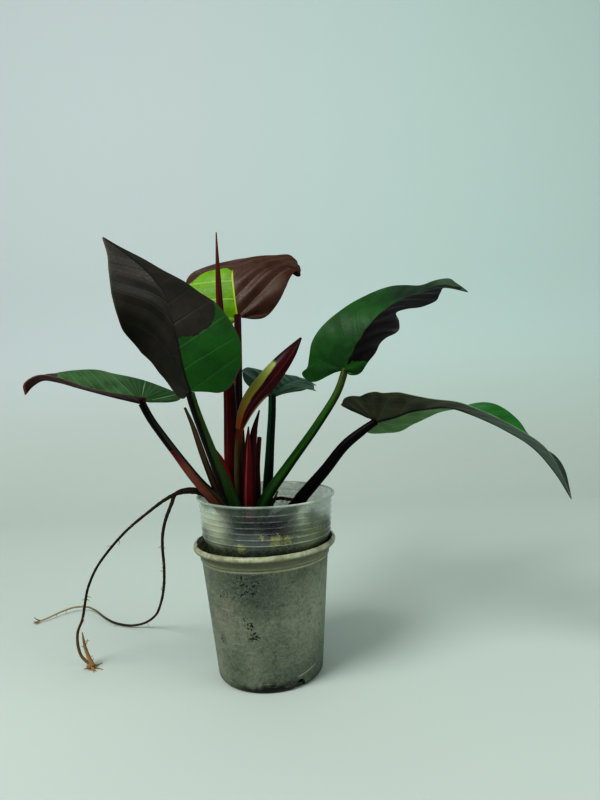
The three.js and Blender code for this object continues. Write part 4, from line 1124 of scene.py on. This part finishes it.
def lathe(profile, sides):
    """A closed solid of revolution from an outline that starts and ends on the axis."""
    ring = profile[1:-1]
    points = [ring_points(r, z, sides) for r, z in ring]
    points = np.vstack(points + [[[0, 0, profile[0][1]], [0, 0, profile[-1][1]]]])
    return points, ring_faces(points, sides)


def round_edge(x, z, radius, start, stop, steps):
    angles = np.radians(np.linspace(start, stop, steps + 1))
    return [(x + radius * math.cos(a), z + radius * math.sin(a)) for a in angles]


def cylinder(radius, low, high, sides, turn=0.0, scale=(1, 1, 1), shift=(0, 0, 0), upright=True):
    """A cutter: a cylinder along z, or along x when it isn't upright."""
    points, faces = lathe([(0, low), (radius, low), (radius, high), (0, high)], sides)
    if not upright:
        points = points[:, [2, 1, 0]] * (1, 1, -1)
    points = points * scale + shift
    turned = points.copy()
    turned[:, 0] = points[:, 0] * math.cos(turn) - points[:, 1] * math.sin(turn)
    turned[:, 1] = points[:, 0] * math.sin(turn) + points[:, 1] * math.cos(turn)
    return turned, faces


def cut(piece, cutters):
    """Takes each cutter's solid out of a piece."""
    cutter_mesh = bpy.data.meshes.new("cutter")
    points, faces, _ = joined([(p, f, {}) for p, f in cutters])
    cutter_mesh.from_pydata((points * MM).tolist(), [], faces)
    cutter = bpy.data.objects.new("cutter", cutter_mesh)
    bpy.context.scene.collection.objects.link(cutter)
    modifier = piece.modifiers.new("cut", "BOOLEAN")
    modifier.operation = "DIFFERENCE"
    modifier.solver = "EXACT"
    modifier.object = cutter
    evaluated = piece.evaluated_get(bpy.context.evaluated_depsgraph_get())
    mesh = bpy.data.meshes.new_from_object(evaluated)
    piece.modifiers.clear()
    piece.data = mesh
    mesh.set_sharp_from_angle(angle=CUT_SHARP_ANGLE)
    bpy.data.objects.remove(cutter)


def leaned(points):
    """The inner pot leans to the right round its base."""
    x, z = points[:, 0], points[:, 2] - INNER_POT["base_height"]
    cosine, sine = math.cos(INNER_TILT), math.sin(INNER_TILT)
    lift = INNER_POT["base_height"] + INNER_POT["base_radius"] * sine
    return np.stack([x * cosine + z * sine, points[:, 1], z * cosine - x * sine + lift], -1)


def drain_holes(depth, height):
    holes = []
    for k in range(DRAIN["count"]):
        turn = 2 * math.pi * k / DRAIN["count"]
        holes.append(cylinder(DRAIN["radius"], height - depth / 2, height + depth / 2, 24, turn,
                              shift=(DRAIN["ring"], 0, 0)))
    return holes


def wall_point(turn, height):
    """A point on the outer pot's wall in metres."""
    p = OUTER_POT
    share = height / p["step_height"]
    radius = p["base_radius"] + (p["step_radius"] - p["base_radius"]) * share
    angle = math.radians(turn)
    return Vector((radius * math.cos(angle), radius * math.sin(angle), height)) * MM


def near_point(shader, where, point, reach):
    """1 at a point, fading to 0 at a reach in millimetres."""
    away = shader.vector("DISTANCE", where, point, "Value")
    return shader.fade(away, 0.0, reach * MM, 1.0, 0.0)


def near_segment(shader, where, start, end, half_width):
    """1 on a straight line between two points, fading to 0 beside it."""
    run = end - start
    offset = shader.vector("SUBTRACT", where, start)
    dot = shader.vector("DOT_PRODUCT", offset, run / run.length_squared, "Value")
    share = shader.plus(dot, 0.0, clamp=True)
    away = shader.vector("DISTANCE", offset, shader.vector("SCALE", run, share), "Value")
    return shader.fade(away, half_width * MM * .4, half_width * MM, 1.0, 0.0)


def outer_pot_material():
    """Milky plastic gone grey and olive with algae and dirt, paler at the rim, with painted light and
    shade.
    """
    sh = Shader("pot_milky_grey")
    where = sh.place()
    x, y, z = sh.split(where)
    height = sh.times(z, 1 / MM)
    broad = sh.noise(where, 22, 3, .6, .4)
    middle = sh.noise(where, 75, 6, .75)
    grain = sh.noise(where, 520, 5, .8)
    color = sh.mix(sh.fade(broad, .36, .64), rgb(134, 138, 120), rgb(94, 104, 92))
    color = sh.mix(sh.fade(middle, .42, .6, 0, .5), color, rgb(112, 120, 104))
    stains = sh.noise(sh.scaled(where, (1, 1, .8)), 60, 8, .8, .3)
    color = sh.mix(sh.fade(stains, .55, .68, 0, .65), color, rgb(66, 74, 67))
    # Zones of painted light and shade: paler towards the pot's sides, darker at its front middle.
    for turn, up, reach, share, tint in POT_ZONES:
        zone = near_point(sh, where, wall_point(turn, up), reach)
        zone = sh.times(zone, sh.fade(middle, .3, .6, share, share * .6))
        color = sh.mix(zone, color, rgb(*tint))
    blots = sh.noise(where, 170, 4, .7)
    color = sh.mix(sh.fade(blots, .5, .66, 0, .34), color, rgb(52, 58, 54))
    color = sh.mix(sh.fade(grain, .5, .66, 0, .48), color, rgb(158, 164, 146))
    color = sh.mix(sh.fade(grain, .5, .34, 0, .45), color, rgb(52, 58, 50))
    specks = sh.noise(where, 560, 1, .4)
    near = sh.fade(sh.noise(where, 24, 1), .6, .7, 0, .3)
    for turn, up, reach in POT_SPECKS:
        near = sh.maths("MAXIMUM", near, near_point(sh, where, wall_point(turn, up), reach))
    speck = sh.fade(sh.plus(specks, sh.times(near, .2)), .66, .7)
    speck = sh.times(speck, sh.fade(near, .05, .3))
    color = sh.mix(sh.times(speck, .9), color, rgb(16, 20, 18))
    dirt = sh.minus(height, sh.times(stains, 24))
    foot = sh.maths("MAXIMUM", near_point(sh, where, wall_point(-92, 0), 46), .35)
    foot = sh.times(foot, sh.fade(dirt, -10, -2, 1.3, 0), clamp=True)
    color = sh.mix(foot, color, rgb(24, 26, 22))
    for (turn, up), (next_turn, next_up) in zip(POT_CRACK, POT_CRACK[1:]):
        crack = near_segment(sh, where, wall_point(turn, up), wall_point(next_turn, next_up), .9)
        color = sh.mix(sh.times(crack, .8), color, rgb(170, 172, 150))
    color = sh.mix(sh.fade(height, 96.4, 98, 0, .7), color, rgb(128, 130, 104))
    # Painted highlights: thin pale lines round the step, broken up by the stains.
    for level, strength in POT_STEP_HIGHLIGHTS:
        step_highlight = sh.maths("ABSOLUTE", sh.minus(height, level))
        step_highlight = sh.times(sh.fade(step_highlight, .2, .8, strength, 0), sh.fade(stains, .35, .55))
        color = sh.mix(step_highlight, color, rgb(172, 172, 150))
    square = sh.plus(sh.times(x, x), sh.times(y, y))
    radius = sh.times(sh.maths("SQRT", square), 1 / MM)
    # Painted light: the inside of the rim's funnel, a shaded gap, is painted bright cream as if lit
    # through the milky wall.
    funnel = OUTER_POT["step_radius"] + OUTER_POT["step_width"]
    inner = sh.fade(radius, funnel - .3, funnel - .6)
    inner = sh.times(inner, sh.fade(height, 94, 97))
    bright = sh.mix(sh.fade(middle, .4, .6), rgb(226, 220, 190), rgb(196, 186, 146))
    color = sh.mix(inner, color, bright)
    rim = sh.fade(sh.plus(height, sh.times(grain, 1.6)), 105.6, 107)
    pale = sh.mix(sh.fade(middle, .4, .6), rgb(190, 190, 166), rgb(146, 144, 118))
    color = sh.mix(rim, color, pale)
    scratches = sh.noise(sh.scaled(where, (1, 1, 9)), 60, 3, .8)
    color = sh.mix(sh.fade(scratches, .6, .68, 0, .45), color, rgb(168, 172, 154))
    relief = sh.plus(sh.times(middle, .6), sh.times(grain, .4))
    normal = sh.bump(relief, .25, .0008)
    gloss = sh.fade(middle, .3, .7, .36, .52)
    return sh.surface(Base_Color=color, Roughness=gloss, Normal=normal, Specular_IOR_Level=.35,
                      Transmission_Weight=.22)


def add_outer_pot():
    p = OUTER_POT
    step_out = p["step_radius"] + p["step_width"]
    core = p["rim_depth"] / 2
    wall = p["wall"]
    corner = p["corner_radius"]
    low, high = p["base_radius"], p["step_radius"]
    rise = p["step_height"] - corner
    side = [(low + (high - low) * k / WALL_STEPS, corner + rise * k / WALL_STEPS)
            for k in range(1, WALL_STEPS + 1)]
    inside = [(x - wall, z) for x, z in side[::-1]]
    profile = [
        (0, 0),
        (low - corner - 9, 0),
        *round_edge(low - corner, corner, corner, -90, 0, 8),
        *side,
        (step_out, p["step_height"] + .8),
        (step_out + .4, p["height"] - p["rim_depth"]),
        *round_edge(p["rim_radius"] - core, p["height"] - core, core, -90, 90, 12),
        (p["rim_radius"] - wall - 1.2, p["height"] - .6),
        (step_out + .4 - wall, p["height"] - p["rim_depth"] - 1.2),
        (step_out - wall, p["step_height"] + .8),
        *inside,
        (low - wall, corner),
        (low - corner, p["floor"]),
        (0, p["floor"]),
    ]
    points, faces = lathe(profile, POT_SIDES)
    points = worn_rim(points)
    piece = new_mesh("pot_outer", points, faces, materials=[outer_pot_material()])
    cutters = drain_holes(2 * p["floor"] + 2, 0)
    for k in range(NOTCH["count"]):
        turn = math.radians(NOTCH["turn"] + 360 * k / NOTCH["count"])
        tall = NOTCH["height"] / (NOTCH["width"] / 2)
        cutters.append(cylinder(NOTCH["width"] / 2, -6, 6, 40, turn, (1, 1, tall),
                                (low + 3, 0, 0), upright=False))
    cut(piece, cutters)
    place(piece, "grey_plastic", "outer_pot")


def worn_rim(points):
    """Small dents along the rim and one torn nick at the left."""
    p = OUTER_POT
    angle = np.arctan2(points[:, 1], points[:, 0])
    radius = np.hypot(points[:, 0], points[:, 1])
    share = np.clip((points[:, 2] - (p["height"] - p["rim_depth"])) / p["rim_depth"], 0, 1)
    share = share * np.clip((radius - p["step_radius"] - 2) / 3, 0, 1)
    dents = .25 * np.sin(angle * 9 + 1) + .2 * np.sin(angle * 23 + 2) + .15 * np.sin(angle * 47)
    turn = np.degrees(angle) % 360
    nick = sum(deep * np.exp(-((turn - at) / half) ** 2) for at, deep, half in RIM_NICKS)
    radius = radius + share * (dents * .5 - nick * 1.6)
    height = points[:, 2] + share * (dents * .6 - nick * 1.2)
    return np.stack([radius * np.cos(angle), radius * np.sin(angle), height], -1)


def inner_pot_material():
    """Clear ribbed plastic with a thin haze, algae at its foot, painted rib highlights and painted
    reflection.
    """
    sh = Shader("pot_clear_ribbed")
    where = sh.place()
    _, _, z = sh.split(where)
    height = sh.times(z, 1 / MM)
    haze = sh.noise(where, 30, 4, .6, .5)
    grain = sh.noise(where, 260, 5, .75)
    color = sh.mix(sh.fade(haze, .4, .62), rgb(150, 160, 150), rgb(196, 204, 186))
    low = sh.plus(height, sh.times(sh.plus(haze, grain), -14))
    algae = sh.fade(low, 100, 116, 1, 0)
    green = sh.mix(sh.fade(grain, .45, .6), rgb(50, 56, 48), rgb(92, 98, 68))
    color = sh.mix(sh.times(algae, .9), color, green)
    alpha = sh.fade(haze, .38, .66, .2, .5)
    # Zones of haze and painted reflection, paler and more opaque at the pot's sides.
    for place_mm, reach, tint, strength in INNER_ZONES:
        zone = near_point(sh, where, [v * MM for v in place_mm], reach)
        color = sh.mix(zone, color, rgb(*tint))
        change = sh.minus(strength, alpha)
        alpha = sh.plus(alpha, sh.times(zone, change))
    tufts = sh.noise(where, 480, 3, .8)
    for place_mm, reach in MOSS_CLUMPS:
        clump = near_point(sh, where, [v * MM for v in place_mm], reach)
        clump = sh.times(clump, sh.fade(clump, 0, .1))
        clump = sh.fade(sh.plus(sh.times(clump, .34), tufts), .7, .75)
        color = sh.mix(clump, color, rgb(140, 142, 96))
        algae = sh.maths("MAXIMUM", algae, clump)
    alpha = sh.maths("MAXIMUM", alpha, sh.times(algae, .82))
    alpha = sh.maths("MAXIMUM", alpha, sh.fade(height, 142, 144, 0, .75))
    # Painted highlights: pale, more opaque lines along the rib crests.
    crest = sh.maths("ABSOLUTE", sh.minus(sh.attribute("crest"), 1.0))
    crest_highlight = sh.fade(crest, .1, .5, 1, 0)
    crest_highlight = sh.times(crest_highlight, sh.fade(haze, .3, .6, .3, 1))
    color = sh.mix(sh.times(crest_highlight, .5), color, rgb(206, 214, 200))
    alpha = sh.maths("MAXIMUM", alpha, sh.times(crest_highlight, .5))
    alpha = sh.plus(alpha, sh.fade(grain, .55, .75, 0, .12), clamp=True)
    normal = sh.bump(grain, .12, .0004)
    return sh.surface(Base_Color=color, Roughness=.2, Alpha=alpha, Normal=normal)


def add_inner_pot():
    p = INNER_POT
    wall = p["wall"]

    def band(z):
        share = (z - p["shoulder_height"]) / (p["height"] - p["shoulder_height"])
        return p["band_radius"] + (p["band_top_radius"] - p["band_radius"]) * share

    ribs, inside = [], []
    for k in range(p["rib_count"] * STEPS_PER_RIB):
        z = p["shoulder_height"] + 3 + k * p["rib_spacing"] / STEPS_PER_RIB
        crest = p["rib_depth"] * max(0, math.cos(2 * math.pi * (k - 3.5) / STEPS_PER_RIB)) ** 2
        ribs.append((band(z) + crest, z))
        inside.append((band(z) + crest * .8 - wall, z))
    rim = p["height"] - p["rim_depth"]
    profile = [
        (0, p["base_height"]),
        (p["base_radius"] - 2, p["base_height"]),
        (p["base_radius"], p["base_height"] + 2),
        (p["shoulder_radius"], p["shoulder_height"] - 4),
        (p["band_radius"], p["shoulder_height"] + 1),
        *ribs,
        (p["band_top_radius"], rim),
        *round_edge(p["rim_radius"] - .9, p["height"] - 1, .9, -60, 90, 6),
        (p["rim_radius"] - 1.6, p["height"] - .1),
        (p["band_top_radius"] - wall, rim),
        *inside[::-1],
        (p["band_radius"] - wall, p["shoulder_height"] + 2),
        (p["shoulder_radius"] - wall, p["shoulder_height"] - 3),
        (p["base_radius"] - wall, p["base_height"] + p["floor"] + 1.5),
        (p["base_radius"] - wall - 1.5, p["base_height"] + p["floor"]),
        (0, p["base_height"] + p["floor"]),
    ]
    points, faces = lathe(profile, POT_SIDES)
    radius = np.hypot(points[:, 0], points[:, 1])
    crest = np.clip((radius - band(points[:, 2])) / p["rib_depth"], 0, 1)
    crest = crest * (points[:, 2] < rim - 1)
    piece = new_mesh("pot_inner", leaned(points), faces, {"crest": crest}, [inner_pot_material()])
    place(piece, "clear_plastic", "inner_pot")


# Soil.

def soil_top(x, y):
    """The height of the potting mix, lumpy and a little higher at the right."""
    bump = np.sin(x * .21 + 1) * np.cos(y * .17) + .6 * np.sin(x * .43 - y * .37)
    grit = .35 * np.sin(x * 1.3 + 2 * np.sin(y * .9)) * np.cos(y * 1.1 + np.sin(x * 1.7))
    slope = SOIL["right_rise"] * x / INNER_POT["band_radius"]
    return SOIL["height"] + slope + SOIL["bumps"] * bump + grit


def soil_material():
    sh = Shader("soil_mix")
    where = sh.place()
    lumps = sh.noise(where, 160, 5, .7)
    moss = sh.noise(where, 42, 3, .6)
    color = sh.mix(sh.fade(lumps, .35, .65), rgb(40, 30, 22), rgb(74, 58, 42))
    color = sh.mix(sh.fade(moss, .55, .62), color, rgb(92, 102, 48))
    color = sh.mix(sh.fade(sh.noise(where, 500, 2), .68, .72), color, rgb(160, 150, 128))
    return sh.surface(Base_Color=color, Roughness=.9, Normal=sh.bump(lumps, .9, .002))


def chip(random, centre, size):
    """One bark chip: a bent, tapered block."""
    box = np.array([(x, y, z) for x in (-1, 1) for y in (-1, 1) for z in (-1, 1)], float)
    box = box * size * (1, random.uniform(.4, .8), random.uniform(.2, .45))
    box = box + random.standard_normal((8, 3)) * size * .12
    spin = Matrix.Rotation(random.uniform(0, 6.28), 3, "Z")
    tilt = Matrix.Rotation(random.uniform(-.6, .6), 3, "X")
    box = box @ np.array(spin @ tilt).T + centre
    faces = [[0, 1, 3, 2], [4, 6, 7, 5], [0, 4, 5, 1], [2, 3, 7, 6], [0, 2, 6, 4], [1, 5, 7, 3]]
    return box, faces, {}


def moss_strand(random, foot, height):
    """One short moss shoot."""
    lean = random.standard_normal(3) * (.5, .5, 0) + (0, 0, 1)
    tip = foot + unit(lean) * height
    middle = (foot + tip) / 2 + random.standard_normal(3) * height * .12
    return tube([foot, middle, tip], [.35, .45, .1], 5, 4)


def add_soil():
    p = INNER_POT
    clear = p["wall"] + .4
    outer = p["shoulder_radius"] - clear
    floor = p["base_height"] + p["floor"] + .5
    rings = [(p["base_radius"] - clear - 1, floor), (p["base_radius"] - clear, floor + 1.5),
             (outer, p["shoulder_height"] - 4)]
    points = [ring_points(r, z, SOIL_SIDES) for r, z in rings]
    for r in np.linspace(outer, 0.5, SOIL_RINGS):
        ring = ring_points(r, 0, SOIL_SIDES)
        ring[:, 2] = soil_top(ring[:, 0], ring[:, 1]) - 2.5 * max(0, (r - outer + 3) / 3)
        points.append(ring)
    points = np.vstack(points + [[[0, 0, floor], [0, 0, float(soil_top(0, 0))]]])
    faces = ring_faces(points, SOIL_SIDES)
    piece = new_mesh("soil_mound", leaned(points), faces, materials=[soil_material()])
    place(piece, "soil_mix", "soil")
    add_chips(outer)
    add_moss(outer)


def add_chips(outer):
    random = np.random.default_rng(CHIPS["seed"])
    parts = []
    for _ in range(CHIPS["count"]):
        r, turn = outer * math.sqrt(random.uniform(.05, .93)), random.uniform(0, 2 * math.pi)
        x, y = r * math.cos(turn), r * math.sin(turn)
        centre = (x, y, float(soil_top(x, y)) + .4)
        parts.append(chip(random, centre, random.uniform(CHIPS["smallest"], CHIPS["largest"])))
    points, faces, _ = joined(parts)
    sh = Shader("bark_chips")
    grain = sh.noise(sh.place(), 300, 4)
    color = sh.mix(sh.fade(sh.noise(sh.place(), 90, 1), .4, .6), rgb(70, 46, 30), rgb(112, 84, 56))
    chips = sh.surface(Base_Color=color, Roughness=.85, Normal=sh.bump(grain, .6, .001))
    place(new_mesh("soil_chips", leaned(points), faces, materials=[chips]), "soil_mix")


def add_moss(outer):
    """Moss against the pot's wall, most of it at the front and the right."""
    random = np.random.default_rng(MOSS_SEED)
    parts = []
    for turn, spread, height in MOSS_ALONG_WALL:
        for _ in range(MOSS_SHOOTS):
            at = math.radians(turn + random.normal() * spread)
            r = outer - .8 - abs(random.normal()) * 3.5
            x, y = r * math.cos(at), r * math.sin(at)
            foot = np.array([x, y, float(soil_top(x, y)) - 1])
            parts.append(moss_strand(random, foot, height * random.uniform(.35, 1)))
    points, faces, fields = joined(parts)
    skin = rod_material("moss_shoots", rgb(112, 116, 50), rgb(150, 146, 70), 0, .2, .5, roughness=.8,
                        root=rgb(60, 66, 30), tip=rgb(168, 164, 92))
    place(new_mesh("moss", leaned(points), faces, fields, [skin]), "soil_mix")


# Stage, light and camera.

def add_camera():
    camera = bpy.data.objects.new("camera", bpy.data.cameras.new("camera"))
    camera.data.lens = CAMERA_LENS
    camera.data.clip_end = 20
    right = Vector((1, 0, 0))
    up = Vector((0, math.sin(CAMERA_PITCH), math.cos(CAMERA_PITCH)))
    forward = Vector((0, math.cos(CAMERA_PITCH), -math.sin(CAMERA_PITCH)))
    turned_right = right * math.cos(CAMERA_ROLL) - up * math.sin(CAMERA_ROLL)
    turned_up = right * math.sin(CAMERA_ROLL) + up * math.cos(CAMERA_ROLL)
    turn = Matrix((turned_right, turned_up, -forward)).transposed().to_4x4()
    camera.matrix_world = Matrix.Translation(Vector(CAMERA_PLACE) * MM) @ turn
    bpy.context.scene.collection.objects.link(camera)
    bpy.context.scene.camera = camera


def add_light(name, place_m, target_m, size, power, color):
    lamp = bpy.data.lights.new(name, "AREA")
    lamp.shape = "DISK"
    lamp.size = size
    lamp.energy = power
    lamp.color = color
    light = bpy.data.objects.new(name, lamp)
    light.location = place_m
    direction = Vector(target_m) - Vector(place_m)
    light.rotation_euler = direction.to_track_quat("-Z", "Y").to_euler()
    bpy.context.scene.collection.objects.link(light)


def add_stage():
    """A pale floor that curves up behind the plant."""
    half, back, bend, top, steps = STAGE.values()
    profile = [(-half, 0.0), (back - bend, 0.0)]
    for k in range(1, steps + 1):
        angle = math.pi / 2 * k / steps
        profile.append((back - bend + bend * math.sin(angle), bend - bend * math.cos(angle)))
    profile.append((back, top))
    points = [(x, y, z) for y, z in profile for x in (-half, half)]
    faces = [[2 * i, 2 * i + 1, 2 * i + 3, 2 * i + 2] for i in range(len(profile) - 1)]
    sh = Shader("floor_cloth")
    tone = sh.noise(sh.place(), 1.3, 2)
    x, _, z = sh.split(sh.place())
    color = sh.mix(sh.fade(tone, 0.3, 0.7), rgb(190, 196, 191), rgb(187, 192, 188))
    behind = sh.mix(sh.fade(x, -.4, .6), rgb(198, 203, 206), rgb(196, 210, 208))
    color = sh.mix(sh.fade(z, .02, .35), color, behind)
    material = sh.surface(Base_Color=color, Roughness=0.85)
    floor = new_mesh("floor", np.array(points) / MM, faces, materials=[material])


def add_world():
    world = bpy.data.worlds.new("studio")
    world.use_nodes = True
    background = world.node_tree.nodes["Background"]
    background.inputs["Color"].default_value = WORLD_COLOR
    background.inputs["Strength"].default_value = WORLD_STRENGTH
    bpy.context.scene.world = world


def main():
    bpy.context.scene.view_settings.view_transform = "Standard"
    bpy.context.scene.view_settings.look = "High Contrast"
    add_camera()
    add_stage()
    add_world()
    for name, lamp in LAMPS.items():
        add_light(name, *lamp)
    add_blades()
    add_young_leaf()
    add_rods()
    add_roots()
    add_outer_pot()
    add_inner_pot()
    add_soil()
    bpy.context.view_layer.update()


main()
